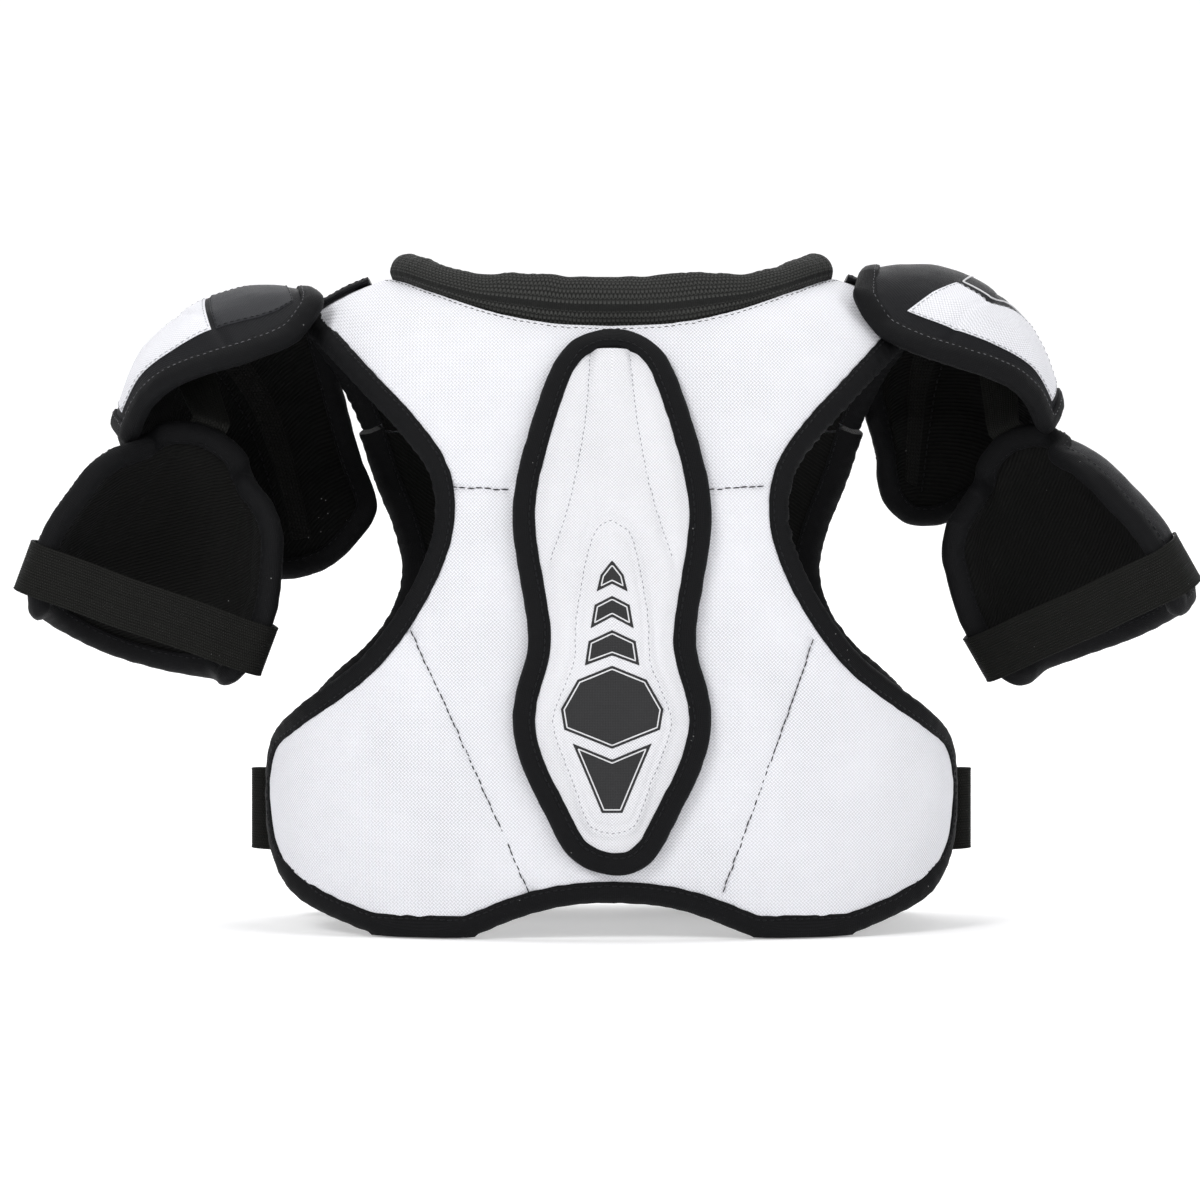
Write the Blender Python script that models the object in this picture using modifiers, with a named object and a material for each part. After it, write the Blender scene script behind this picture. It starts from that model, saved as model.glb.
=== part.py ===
"""Youth ice hockey shoulder pads: padded back and chest panels, spine and sternum pads, shoulder
caps, upper-arm guards and their straps. Built in metres from dimensions in millimetres, +Z up.
+X is the wearer's right, +Y the wearer's front. The origin is on the torso's plane of symmetry,
midway between front and back, on the plane the hems stand on."""

import math

import bmesh
import bpy
import numpy as np

MM = 0.001
SIGN = {"right": 1, "left": -1}  # sign of x on each side

# ---------------------------------------------------------------- layers and edges (mm)
FOAM_T = 6.0  # torso foam core
SKIN_T = 1.2  # woven cover and knitted lining
GAP = 0.5  # clearance kept between laid-up layers
SKIN_LIFT = FOAM_T / 2 + GAP + SKIN_T / 2  # middle of the foam to the middle of a skin
COVER_TOP = FOAM_T / 2 + GAP + SKIN_T  # middle of the foam to the cover's outer face
CHEST_LIFT = 0.7  # extra clearance under the chest cover, over its tighter bends

BEAD_R = 4.5  # half the thickness of the bound edges
BEAD_OUT = 5.6  # bound edge's centre line, outside the panel's edge
CHEST_BEAD_OUT = BEAD_OUT + 1.8
ROUND_STEPS = 1  # bevel resolution of beads and rolls
MERGE_DIST = 1e-5  # metres, for points of a bead that coincide

FOOT_Z = 0.0  # level the hems rest on
SHIFT_Y = 2.57  # moves everything so that the origin sits in the middle of the depth
ELASTIC_T = 1.4

# ---------------------------------------------------------------- torso shape
RIDGE_Y = 0.0  # where the back panel ends, on top of the shoulder
FRONT_RIDGE_Y = 0.6  # where the front yokes begin
BACK_FLEX_Z = 200.0  # above this the back panel leans forward to the shoulder
FRONT_FLEX_Z = 190.0  # above this the front leans back to it
LEAN = 2.3  # exponent of the leaning curve
CHEST_TOP = 264.0  # chest panel's top edge, where it folds on the yokes
YOKE_Z = CHEST_TOP + 3.2  # foot of the yokes

# fractions of the half width at which the panels' columns stand
COLUMNS = (0, 0.16, 0.31, 0.45, 0.58, 0.69, 0.79, 0.89, 1)
BACK_ROWS = 15
CHEST_ROWS = 12
YOKE_COLS, YOKE_ROWS = 5, 6

# plan curves, centre to side: x, y
BACK_PLAN = [
    (0, -105), (30, -104.6), (60, -102.5), (85, -98.5), (108, -92), (130, -81.5),
    (149, -67.5), (163, -51), (171.5, -34), (175, -17), (176, 0),
]
CHEST_PLAN = [
    (0, 100), (30, 99.6), (58, 97), (85, 91.5), (110, 83), (132, 71.5),
    (147, 59.5), (153.5, 49), (155, 38), (155, 20), (155, 0), (155, -20),
]
# shoulder's top line: x, z
RIDGE = [(0, 353), (60, 349), (95, 342), (116, 334.5), (135, 327.5), (154, 318), (185, 301)]

# back panel's edge, from the middle of the hem: x, z
BACK_HEM = [
    (0, 28), (20, 27), (42, 23), (62, 15), (78, 8), (86, 6.4),
    (100, 6.4), (112, 8.5), (128, 14), (144, 19.5), (157, 26),
]
BACK_SIDE = [
    BACK_HEM[-1], (165, 33), (169.5, 43), (172.3, 58), (173.4, 74), (170, 91), (162, 101),
    (151, 109), (131, 123.5), (113, 139), (101.5, 155), (92.5, 170), (85, 185), (80.3, 200),
    (77.8, 217), (80.5, 232), (88, 246), (101, 262), (117, 279), (133, 296), (152, 315.5),
]
BACK_TOP = [
    (0, 305), (30, 306.5), (58, 312), (88, 322.5), (108, 331), (117, 333.7), (135, 326.9),
    BACK_SIDE[-1],
]

# chest panel's edge: distance round the body from the middle, z
CHEST_HEM = [
    (0, 32), (22, 30), (44, 24), (62, 15), (78, 8), (88, 6.4),
    (102, 6.4), (118, 8.5), (138, 14), (156, 19), (176, 26),
]
CHEST_SIDE = [
    CHEST_HEM[-1], (192, 33), (203, 43), (208, 56), (208, 72), (202, 86), (189, 98),
    (170, 109), (148, 122), (129, 137), (115, 154), (107, 171), (105, 188), (108, 204),
    (114, 220), (121, 236), (127, 250), (131, CHEST_TOP),
]
CHEST_HEAD = [(0, 251), (30, 253), (56, 259), (78, CHEST_TOP), (104, CHEST_TOP), CHEST_SIDE[-1]]

# front yoke's edges: distance round the body, z
YOKE_FOOT = [(79, YOKE_Z), (104, YOKE_Z), (131.5, YOKE_Z)]
YOKE_IN = [YOKE_FOOT[0], (84, 284), (95, 306), (110, 325), (120, 333.2)]
YOKE_OUT = [YOKE_FOOT[-1], (139, 282), (149, 298), (166, 315.5)]
YOKE_HEAD = [YOKE_IN[-1], (142, 326), YOKE_OUT[-1]]

COLLAR_R = 8.5
COLLAR_OUT = 9.6  # collar roll's centre line, outside the neck edge
COLLAR_BACK_COLS = 6  # panel columns the roll follows on each half of the back
COLLAR_BACK_POINTS = 39
COLLAR_FRONT_REACH = 3  # panel columns the front roll spans either side of the middle
COLLAR_FRONT_POINTS = 9
COLLAR_YOKE_LIFT = 1.0  # rise of the roll off the yoke's surface
COLLAR_FRONT_LIFT = -1.0

# ---------------------------------------------------------------- spine and sternum pads
# right half of each bound outline, bottom to top: half width, z
SPINE = [
    (0, 41), (8, 42.6), (13.9, 48.3), (18.8, 58), (24.6, 70), (30.8, 82), (35.8, 95),
    (38.3, 108), (36.9, 120), (32.9, 133), (30.2, 146), (31.0, 160), (33.4, 175),
    (36.3, 192), (38.2, 209), (36.9, 224), (33.0, 240), (28.2, 256), (22.9, 271),
    (19.2, 280), (13.4, 287.2), (6.5, 290), (0, 290.5),
]
STERNUM = [
    (0, 86), (8, 88), (16, 96), (24, 110), (31, 127), (34, 145), (33, 163),
    (31.5, 181), (32.5, 199), (34, 213), (32, 225), (22, 233), (10, 236), (0, 237),
]
PAD_T = 8.0
PAD_COLS = 4  # on each half
PAD_END = 0.8  # end rows of a pad, inside the tips of its outline
PAD_CLEAR = GAP + 0.2  # under the insert and again under the pad
PAD_BEAD_CLEAR = GAP + 0.4
INSERT_T = 1.2
INSERT_COLS = 3
INSERT_WIDTH = 0.72  # share of the pad's width

# appliques on the spine pad: x, z corners
MARK_T = 0.6
MARK_OFF = 0.55  # middle of an applique, off the pad's face
MARKS = {
    "spine_chevron_top": [
        (0, 188.5), (5.6, 181.5), (7.6, 173.2), (0, 177), (-7.6, 173.2), (-5.6, 181.5),
    ],
    "spine_chevron_mid": [
        (0, 171), (8.6, 166.6), (10.6, 155), (0, 160.6), (-10.6, 155), (-8.6, 166.6),
    ],
    "spine_chevron_low": [
        (0, 154), (11.6, 148.6), (13.4, 136.6), (0, 141.5), (-13.4, 136.6), (-11.6, 148.6),
    ],
    "spine_badge": [
        (0, 136.4), (17, 129.5), (25, 115), (23.4, 104.8),
        (0, 95.4), (-23.4, 104.8), (-25, 115), (-17, 129.5),
    ],
    "spine_shield": [(-19.4, 98), (0, 90), (19.4, 98), (5, 63.6), (-5, 63.6)],
}

# ---------------------------------------------------------------- caps and arm guards
# lay-up shared by caps and guards
SHELL_T = 1.5
SHELL_COVER_T = 2.4
SHELL_LINER_T = 2.8
SHELL_GAP = 0.35
SHELL_BEAD_R = 4.2
SHELL_BEAD_OUT = BEAD_OUT - 0.3
SHELL_PARTS = ("shell", "cover", "liner", "binding")

# right cap, x, y, z: rows from its rear edge over the top to its front edge, columns neck to arm
CAP = [
    [(137, -51, 324), (148, -59, 309.5), (170, -64, 299.5),
     (195, -62, 291.5), (216, -52, 282), (229, -35, 266)],
    [(141, -33, 335), (154, -41, 331), (174, -46, 323.5),
     (198, -45, 314), (220, -38, 297), (234, -24, 273)],
    [(145, -4, 341), (158, -4, 342), (176, -4, 341),
     (200, -2, 331.5), (223, 0, 309), (236, 3, 279)],
    [(145, 26, 336), (157, 35, 333.5), (176, 40, 329),
     (199, 42, 317), (221, 40, 294), (234, 33, 266)],
    [(145, 52, 315), (155, 61, 308), (173, 66, 300),
     (194, 67, 288), (215, 62, 270), (230, 47, 256)],
    [(149, 65, 281), (156, 70, 270), (171, 73, 263),
     (191, 72, 257), (210, 66, 249), (223.5, 54.5, 246)],
    [(154, 64, 248), (158.5, 68, 231), (168, 71, 221),
     (182, 71, 219.5), (196, 67, 225), (210, 60, 233)],
]
CAP_ROWS, CAP_COLS = 9, 8
# moves of each cap; the left one is reshaped, turned and moved on the right side, then mirrored
CAP_MOVE = {"right": (-4.0, 2.0, 0.0), "left": (21.0, 2.0, -13.0)}
CAP_TURN_LEFT = 9.0  # degrees, rear edge up
CAP_TURN_CENTRE = (176.0, 5.0, 285.0)
# each row of the left cap: reach inward at its neck side, rise of the whole row
CAP_SPREAD_LEFT = [(0, 0), (0, 0), (0, 0), (2, 0), (8, 0), (21, -2), (38, -7)]

# webbing from the top of the shoulder to inside the cap: distance from the middle, z
TETHER = {
    "right": [(123.5, 337.8), (130, 335.3), (136, 332.6), (144, 330.8), (152, 331.2)],
    "left": [(127, 336.4), (138, 331.8), (150, 325.2), (160, 320.4), (173, 319.2)],
}
TETHER_Y = -3.0
TETHER_W = 22.0

# Upper-arm guard in its own frame: w across the arm, a down the arm, d away from the opening.
# half width, depth, a at the middle, a at the rims, depth of the rims
GUARD_STATIONS = [
    (31, 30, 0, 15, 15),
    (45, 42, 24, 27, 3),
    (53, 49, 47, 48, 0),
    (58, 52, 70, 70, 0),
    (57.5, 52, 92, 90, 0),
    (53, 50, 114, 104, 3),
]
GUARD_ROWS, GUARD_COLS = 8, 9
# where each guard hangs, before the left one is mirrored: middle of its top edge in the rim
# plane, tilt outward, lean, turn about its own length (degrees)
GUARDS = {
    "right": {"at": (199.24, -29.0, 241.0), "out": 30.0, "lean": 4.0, "turn": -37.0},
    "left": {"at": (208.75, -47.0, 249.0), "out": 20.5, "lean": 2.0, "turn": -12.0},
}

# straps round the arm: w, d of each run, all centred on the same a
ARM_STRAP_A = 90.0
ARM_ELASTIC_W = 26.0
ARM_HOOK_W = ARM_ELASTIC_W - 4
ARM_HOOK_T = 0.9
ARM_STRAP = [  # from the rim at -w across the opening and round the rim at +w
    (-61.5, -9.8), (-54, -11.7), (-30, -12.0), (0, -12.0), (30, -12.0), (50, -11.9),
    (58, -11.2), (63.4, -9.0), (66.0, -4.0), (66.8, 3), (66.5, 10), (65.8, 17), (64.6, 24.5),
]
ARM_HOOK = [(64.0, 7), (63.9, 12), (63.4, 17.5), (62.5, 23.5)]
ARM_ANCHOR = [(-65.4, -6.6), (-67, 0), (-66.6, 9), (-64.6, 19), (-61.0, 28)]

# elastic that hangs the guard from its cap
LINK_W = 20.0
LINK_ROW, LINK_COL = 3, 4  # place on the cap, columns counted from the neck
LINK_DROP = 5.4  # head of the elastic, inside the cap's surface
LINK_LOW = (0.0, 7.0, 22.4)  # foot of the elastic, in the guard's frame
LINK_RIM = (0.0, -11.0, 22.4)
LINK_STEPS = (0.33, 0.66, 1.0)

# ---------------------------------------------------------------- side straps
# runs are x, y on the right side, all centred on the same z
SIDE_STRAP_Z = 59.0
SIDE_ELASTIC_W = 42.0
SIDE_HOOK_W = SIDE_ELASTIC_W - 5
SIDE_LOOP_W = SIDE_ELASTIC_W - 2
SIDE_PATCH_T = 0.8  # hook and loop pieces
SIDE_SEWN_X = 171.4  # where the anchor's sewn part is measured from, on the back's plan curve
SIDE_SEWN_STEPS = (-15.0, -8.0, -1.0, 6.0, 12.0)  # distances round the body from there
SIDE_SEWN_DEPTH = COVER_TOP + GAP + 1.6 + ELASTIC_T / 2  # inside the foam's middle
SIDE_ANCHOR_END = [(178.5, -3.5), (184.8, -3.2)]
SIDE_STRAP = [
    (187.6, -2.9), (189.3, 1.5), (186.5, 7), (178, 13), (169, 18),
    (165.2, 24), (163.7, 31), (163.7, 40), (163.7, 50),
]
SIDE_HOOK = [(162.3, 28.5), (162.3, 34), (162.3, 43)]
SIDE_LOOP = [(161.2, 12), (161.2, 22), (161.2, 34)]

# ---------------------------------------------------------------- fold axes
# points on the axes, before SHIFT_Y
CHEST_FOLD = (0, 90, 265.8)
CAP_FOLD = {"right": (129, -4, 334), "left": (-157, -1, 322)}
SIDE_STRAP_FOLD = (186.3, -3.1, SIDE_STRAP_Z)  # mirrored for the left
# points in the guard's own frame
ARM_FOLD = (34.0, 8.0, 14.0)
GUARD_FOLD = (0.0, -10.0, 26.0)
ARM_STRAP_FOLD = (ARM_STRAP[0][0], ARM_STRAP_A, ARM_STRAP[0][1])
EMPTY_SIZE = 20.0

# ---------------------------------------------------------------- scene and materials
for old in list(bpy.data.objects):
    bpy.data.objects.remove(old)
COLLECTION = bpy.data.collections.new("hockey_shoulder_pads")
bpy.context.scene.collection.children.link(COLLECTION)

MATERIALS = {  # base colour, roughness
    "white_weave": ((0.80, 0.80, 0.84), 0.85),
    "black_binding": ((0.012, 0.012, 0.014), 0.75),
    "black_lining": ((0.010, 0.010, 0.010), 0.9),
    "black_mesh": ((0.018, 0.018, 0.017), 0.85),
    "foam": ((0.30, 0.30, 0.32), 0.9),
    "plastic_plate": ((0.08, 0.08, 0.09), 0.45),
    "elastic": ((0.010, 0.010, 0.009), 0.8),
    "hook_loop": ((0.006, 0.006, 0.006), 0.95),
    "applique": ((0.030, 0.030, 0.030), 0.7),
}


def material(name):
    found = bpy.data.materials.get(name)
    if found:
        return found
    colour, roughness = MATERIALS[name]
    made = bpy.data.materials.new(name)
    made.use_nodes = True
    shader = made.node_tree.nodes["Principled BSDF"]
    shader.inputs["Base Color"].default_value = (*colour, 1)
    shader.inputs["Roughness"].default_value = roughness
    made.diffuse_color = (*colour, 1)
    return made


def place(name, data, finish):
    """Links an object with this data and the material called `finish`."""
    obj = bpy.data.objects.new(name, data)
    COLLECTION.objects.link(obj)
    obj.data.materials.append(material(finish))
    return obj


# ---------------------------------------------------------------- curves and grids
def running_length(points):
    """Distance along a polyline at each of its points."""
    return np.concatenate([[0], np.cumsum(np.linalg.norm(np.diff(points, axis=0), axis=1))])


def unit(vectors):
    return vectors / np.linalg.norm(vectors, axis=-1, keepdims=True)


def fair(points, count, closed=False):
    """Points evenly spaced along a smooth curve (cubic Hermite) through these points."""
    p = np.array(points, float)
    if closed:
        p = np.vstack([p[-2:], p, p[:2]])
    t = running_length(p)
    slope = np.empty_like(p)
    slope[1:-1] = (p[2:] - p[:-2]) / (t[2:] - t[:-2])[:, None]
    slope[0] = (p[1] - p[0]) / (t[1] - t[0])
    slope[-1] = (p[-1] - p[-2]) / (t[-1] - t[-2])
    start, end = (t[2], t[-3]) if closed else (t[0], t[-1])
    q = np.linspace(start, end, 40 * len(p))
    k = np.clip(np.searchsorted(t, q, side="right") - 1, 0, len(t) - 2)
    h = (t[k + 1] - t[k])[:, None]
    s = ((q - t[k]) / (t[k + 1] - t[k]))[:, None]
    fine = (
        (2 * s**3 - 3 * s**2 + 1) * p[k]
        + (s**3 - 2 * s**2 + s) * h * slope[k]
        + (3 * s**2 - 2 * s**3) * p[k + 1]
        + (s**3 - s**2) * h * slope[k + 1]
    )
    run = running_length(fine)
    want = np.linspace(0, run[-1], count + 1)[:-1] if closed else np.linspace(0, run[-1], count)
    return np.stack([np.interp(want, run, fine[:, i]) for i in range(p.shape[1])], axis=1)


def spaced(points, cuts):
    """Points of the smooth curve at these fractions of its length."""
    fine = fair(points, 401)
    share = np.linspace(0, 1, 401)
    return np.stack([np.interp(cuts, share, fine[:, i]) for i in range(fine.shape[1])], axis=1)


def coons(bottom, top, left, right, cuts=None):
    """A grid [row, column] between four boundary polylines that share their corners.
    cuts spaces its columns."""
    rows, cols = len(left), len(bottom)
    u = (np.linspace(0, 1, cols) if cuts is None else np.array(cuts))[None, :, None]
    v = np.linspace(0, 1, rows)[:, None, None]
    ruled_v = (1 - v) * bottom[None] + v * top[None]
    ruled_u = (1 - u) * left[:, None] + u * right[:, None]
    corners = (
        (1 - u) * (1 - v) * bottom[0] + u * (1 - v) * bottom[-1]
        + (1 - u) * v * top[0] + u * v * top[-1]
    )
    return ruled_v + ruled_u - corners


def two_sided(half):
    """A grid and its mirror image across the middle, columns running left to right."""
    other = half[:, :0:-1].copy()
    other[..., 0] *= -1
    return np.concatenate([other, half], axis=1)


def spline_grid(cage, rows, cols):
    """A smooth grid through a cage of points."""
    wide = np.array([fair(row, cols) for row in cage])
    return np.array([fair(wide[:, j], rows) for j in range(cols)]).transpose(1, 0, 2)


def normals(grid):
    n = np.cross(np.gradient(grid, axis=1), np.gradient(grid, axis=0))
    return n / np.maximum(np.linalg.norm(n, axis=-1, keepdims=True), 1e-9)


def rim_path(grid, sides, out):
    """Points `out` outside a grid's edge, along its own surface. `sides` lists neighbouring
    sides in walking order; all four make a closed path."""
    rows, cols = grid.shape[:2]
    walks = {  # row, column, and the step that leads out of the grid there
        "left": [(i, 0, 0, -1) for i in range(rows - 1, -1, -1)],
        "bottom": [(0, j, -1, 0) for j in range(cols)],
        "right": [(i, cols - 1, 0, 1) for i in range(rows)],
        "top": [(rows - 1, j, 1, 0) for j in range(cols - 1, -1, -1)],
    }
    stops = []
    for side in sides:
        for stop in walks[side]:
            if not stops or stops[-1][:2] != stop[:2]:
                stops.append(stop)
    closed = len(sides) == 4
    if closed:
        stops.pop()  # the walk has come back to its first point
    normal = normals(grid)
    rim = np.array([grid[i, j] for i, j, _, _ in stops])
    last = len(rim) - 1
    path = []
    for k, (i, j, di, dj) in enumerate(stops):
        before = rim[k - 1] if k or closed else rim[k]
        after = rim[(k + 1) % len(rim)] if k < last or closed else rim[k]
        outward = np.cross(unit(after - before), normal[i, j])
        outward /= np.linalg.norm(outward)
        if outward @ (grid[i, j] - grid[i - di, j - dj]) < 0:
            outward = -outward
        stretch = 1.0
        if closed or 0 < k < last:
            # reach further at a corner, so that both runs keep their distance
            a, b = rim[k] - before, after - rim[k]
            cosine = (a @ b) / (np.linalg.norm(a) * np.linalg.norm(b))
            stretch = 1 / max(math.sqrt(max((1 + cosine) / 2, 0)), 0.75)
        path.append(grid[i, j] + outward * out * stretch)
    return np.array(path)


def edge_offset(grid, side, out, lift=0.0):
    """Points outside one edge of a grid, from its bottom or left end, raised off its outer face."""
    edge_at, inner_at = {
        "top": (np.s_[-1], np.s_[-2]),
        "left": (np.s_[:, 0], np.s_[:, 1]),
        "right": (np.s_[:, -1], np.s_[:, -2]),
    }[side]
    edge, inner, face = grid[edge_at], grid[inner_at], normals(grid)[edge_at]
    outward = unit(np.cross(np.gradient(edge, axis=0), face))
    outward *= np.sign(np.sum(outward * (edge - inner), axis=1))[:, None]
    return edge + outward * out + face * lift


# ---------------------------------------------------------------- torso surfaces
def along(plan, distance):
    """x and y of a plan curve at this distance from the middle, either side."""
    p = fair(plan, 400)
    run = running_length(p)
    a = np.abs(distance)
    return np.sign(distance) * np.interp(a, run, p[:, 0]), np.interp(a, run, p[:, 1])


def round_of(plan, x):
    """Distance round the plan curve for an x."""
    p = fair(plan, 400)
    run = running_length(p)
    rising = np.maximum.accumulate(p[:, 0] + 1e-6 * run)
    return np.interp(x, rising, run)


def on_torso(wz, plan, flex_z, ridge_y):
    """Points at a distance round the body and a height, leaning to the ridge above flex_z."""
    z = wz[..., 1]
    x, y = along(plan, wz[..., 0])
    top = np.interp(np.abs(x), [r[0] for r in RIDGE], [r[1] for r in RIDGE])
    share = np.clip((z - flex_z) / (top - flex_z), 0, 1)
    leaning = ridge_y + (y - ridge_y) * np.sqrt(np.clip(1 - share**LEAN, 0, 1))
    return np.stack([x, leaning + SHIFT_Y, z], axis=-1)


def on_back(wz):
    return on_torso(wz, BACK_PLAN, BACK_FLEX_Z, RIDGE_Y)


def on_chest(wz):
    return on_torso(wz, CHEST_PLAN, FRONT_FLEX_Z, FRONT_RIDGE_Y)


# ---------------------------------------------------------------- kinds of piece
def sheet(name, grid, thickness, finish, lift=0.0):
    """A shell whose middle runs `lift` outside the grid: an open surface with Solidify."""
    rows, cols = grid.shape[:2]
    bm = bmesh.new()
    bmesh.ops.create_grid(bm, x_segments=cols - 1, y_segments=rows - 1, size=1.0)
    order = sorted(bm.verts, key=lambda v: (round(v.co.y, 5), round(v.co.x, 5)))
    for i, vert in enumerate(order):
        vert.co = grid[i // cols, i % cols] * MM
    bmesh.ops.triangulate(bm, faces=bm.faces, quad_method="SHORT_EDGE")
    mesh = bpy.data.meshes.new(name)
    bm.normal_update()
    bm.to_mesh(mesh)
    bm.free()
    mesh.shade_smooth()
    solid = place(name, mesh, finish).modifiers.new("Thickness", "SOLIDIFY")
    solid.thickness = thickness * MM
    solid.offset = 2 * lift / thickness
    solid.use_rim = True


def tube(name, points, radius, finish, closed=False):
    """A padded edge or roll along these points."""
    data = bpy.data.curves.new(name, "CURVE")
    data.dimensions = "3D"
    data.bevel_depth = radius * MM
    data.bevel_resolution = ROUND_STEPS
    data.use_fill_caps = not closed
    spline = data.splines.new("POLY")
    spline.points.add(len(points) - 1)
    for dot, p in zip(spline.points, points):
        dot.co = (*(np.array(p) * MM), 1.0)
    spline.use_cyclic_u = closed
    return place(name, data, finish)


def settle_on_floor(obj):
    """Turns a tube into a mesh whose lowest run is pressed flat on the floor plane."""
    bpy.context.view_layer.update()
    graph = bpy.context.evaluated_depsgraph_get()
    mesh = bpy.data.meshes.new_from_object(obj.evaluated_get(graph), depsgraph=graph)
    name, finish = obj.name, obj.data.materials[0].name
    bpy.data.objects.remove(obj)
    mesh.name = name
    bm = bmesh.new()
    bm.from_mesh(mesh)
    bmesh.ops.remove_doubles(bm, verts=bm.verts, dist=MERGE_DIST)
    for vert in bm.verts:
        vert.co.z = max(vert.co.z, FOOT_Z * MM)
    bm.to_mesh(mesh)
    bm.free()
    mesh.materials.clear()
    place(name, mesh, finish)


def ribbon(name, path, across, width, thickness, finish):
    """A flat strap: a path, and the direction of its width."""
    path = np.array(path, float)
    across = unit(np.array(across, float))
    grid = np.stack([path - across * width / 2, path + across * width / 2], axis=0)
    sheet(name, grid, thickness, finish)


def plate(name, outline, y, thickness, finish):
    """A flat cut shape standing in an x-z plane."""
    data = bpy.data.curves.new(name, "CURVE")
    data.dimensions = "2D"
    data.fill_mode = "BOTH"
    data.extrude = thickness / 2 * MM
    spline = data.splines.new("POLY")
    spline.points.add(len(outline) - 1)
    for dot, (x, z) in zip(spline.points, outline):
        dot.co = (x * MM, z * MM, 0, 1)
    spline.use_cyclic_u = True
    obj = place(name, data, finish)
    obj.rotation_euler = (math.radians(90), 0, 0)
    obj.location = (0, y * MM, 0)


def padded_shell(kind, side, grid):
    """Plastic shell with a cover, a liner and a bound edge."""
    cover_lift = SHELL_T / 2 + SHELL_GAP + SHELL_COVER_T / 2
    liner_lift = SHELL_T / 2 + SHELL_GAP + SHELL_LINER_T / 2
    sheet(f"{kind}_shell_{side}", grid, SHELL_T, "plastic_plate")
    sheet(f"{kind}_cover_{side}", grid, SHELL_COVER_T, "white_weave", cover_lift)
    sheet(f"{kind}_liner_{side}", grid, SHELL_LINER_T, "black_lining", -liner_lift)
    path = rim_path(grid, ("bottom", "right", "top", "left"), SHELL_BEAD_OUT)
    tube(f"{kind}_binding_{side}", path, SHELL_BEAD_R, "black_binding", closed=True)


# ---------------------------------------------------------------- torso panels
def torso_half(hem, side, top, rows):
    """Right half of a panel, as distance round the body and z."""
    bottom, right, head = spaced(hem, COLUMNS), fair(side, rows), spaced(top, COLUMNS)
    middle = np.stack([np.zeros(rows), np.linspace(bottom[0, 1], head[0, 1], rows)], axis=1)
    return coons(bottom, head, middle, right, COLUMNS)


def build_panel(name, grid, cover_lift, bead_out):
    """Foam, cover and liner, bound along the sides and the hem."""
    sheet(name + "_foam", grid, FOAM_T, "foam")
    sheet(name + "_cover", grid, SKIN_T, "white_weave", cover_lift)
    sheet(name + "_liner", grid, SKIN_T, "black_lining", -SKIN_LIFT)
    rim = rim_path(grid, ("left", "bottom", "right"), bead_out)
    settle_on_floor(tube(name + "_binding", rim, BEAD_R, "black_binding"))


def build_back():
    lines = [np.array(line, float) for line in (BACK_HEM, BACK_SIDE, BACK_TOP)]
    for line in lines:
        line[:, 0] = round_of(BACK_PLAN, line[:, 0])
    grid = on_back(two_sided(torso_half(*lines, BACK_ROWS)))
    build_panel("back", grid, SKIN_LIFT, BEAD_OUT)
    return grid


def build_chest():
    half = torso_half(CHEST_HEM, CHEST_SIDE, CHEST_HEAD, CHEST_ROWS)
    grid = on_chest(two_sided(half))[:, ::-1]  # reversed, so that its normals face out
    build_panel("chest", grid, SKIN_LIFT + CHEST_LIFT, CHEST_BEAD_OUT)
    return grid


def build_yoke(side):
    grid = coons(
        fair(YOKE_FOOT, YOKE_COLS), fair(YOKE_HEAD, YOKE_COLS),
        fair(YOKE_IN, YOKE_ROWS), fair(YOKE_OUT, YOKE_ROWS),
    )
    grid[..., 0] *= SIGN[side]
    grid = on_chest(grid)
    if side == "right":
        grid = grid[:, ::-1]
    sheet("yoke_" + side, grid, FOAM_T + 2 * SKIN_T, "white_weave")
    arm_edge = "left" if side == "right" else "right"
    path = rim_path(grid, (arm_edge,), BEAD_OUT)
    tube("yoke_binding_" + side, path, BEAD_R, "black_binding")
    return grid


def build_collar_back(back, yokes):
    """Roll from one yoke's foot, round the back of the neck, to the other's."""
    middle = back.shape[1] // 2
    neck = edge_offset(back, "top", COLLAR_OUT)
    halves = {"right": neck[middle:], "left": neck[: middle + 1][::-1]}
    runs = {}
    for side, half in halves.items():
        # each yoke's neck edge is on the side of its grid that has the yoke's own name
        front = edge_offset(yokes[side], side, COLLAR_OUT, COLLAR_YOKE_LIFT)[::-1]
        runs[side] = np.vstack([half[:COLLAR_BACK_COLS], front[1:]])
    path = np.vstack([runs["left"][:0:-1], runs["right"]])
    tube("collar_back", fair(path, COLLAR_BACK_POINTS), COLLAR_R, "black_mesh")


def build_collar_front(chest):
    middle = chest.shape[1] // 2
    line = edge_offset(chest, "top", COLLAR_OUT, COLLAR_FRONT_LIFT)
    line = line[middle - COLLAR_FRONT_REACH : middle + COLLAR_FRONT_REACH + 1]
    tube("collar_front", fair(line, COLLAR_FRONT_POINTS), COLLAR_R, "black_mesh")


# ---------------------------------------------------------------- pads on the torso
def pad_grid(outline, cols, rows, surface):
    """A left-right symmetric pad outline as a grid on a surface."""
    line = fair(outline, 200)
    rising = np.maximum.accumulate(line[:, 1] + 1e-6 * np.arange(200))
    half = []
    for z in np.linspace(outline[0][1] + PAD_END, outline[-1][1] - PAD_END, rows):
        w = np.interp(z, rising, line[:, 0])
        half.append([(w * k / (cols - 1), z) for k in range(cols)])
    return surface(two_sided(np.array(half)))


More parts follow.
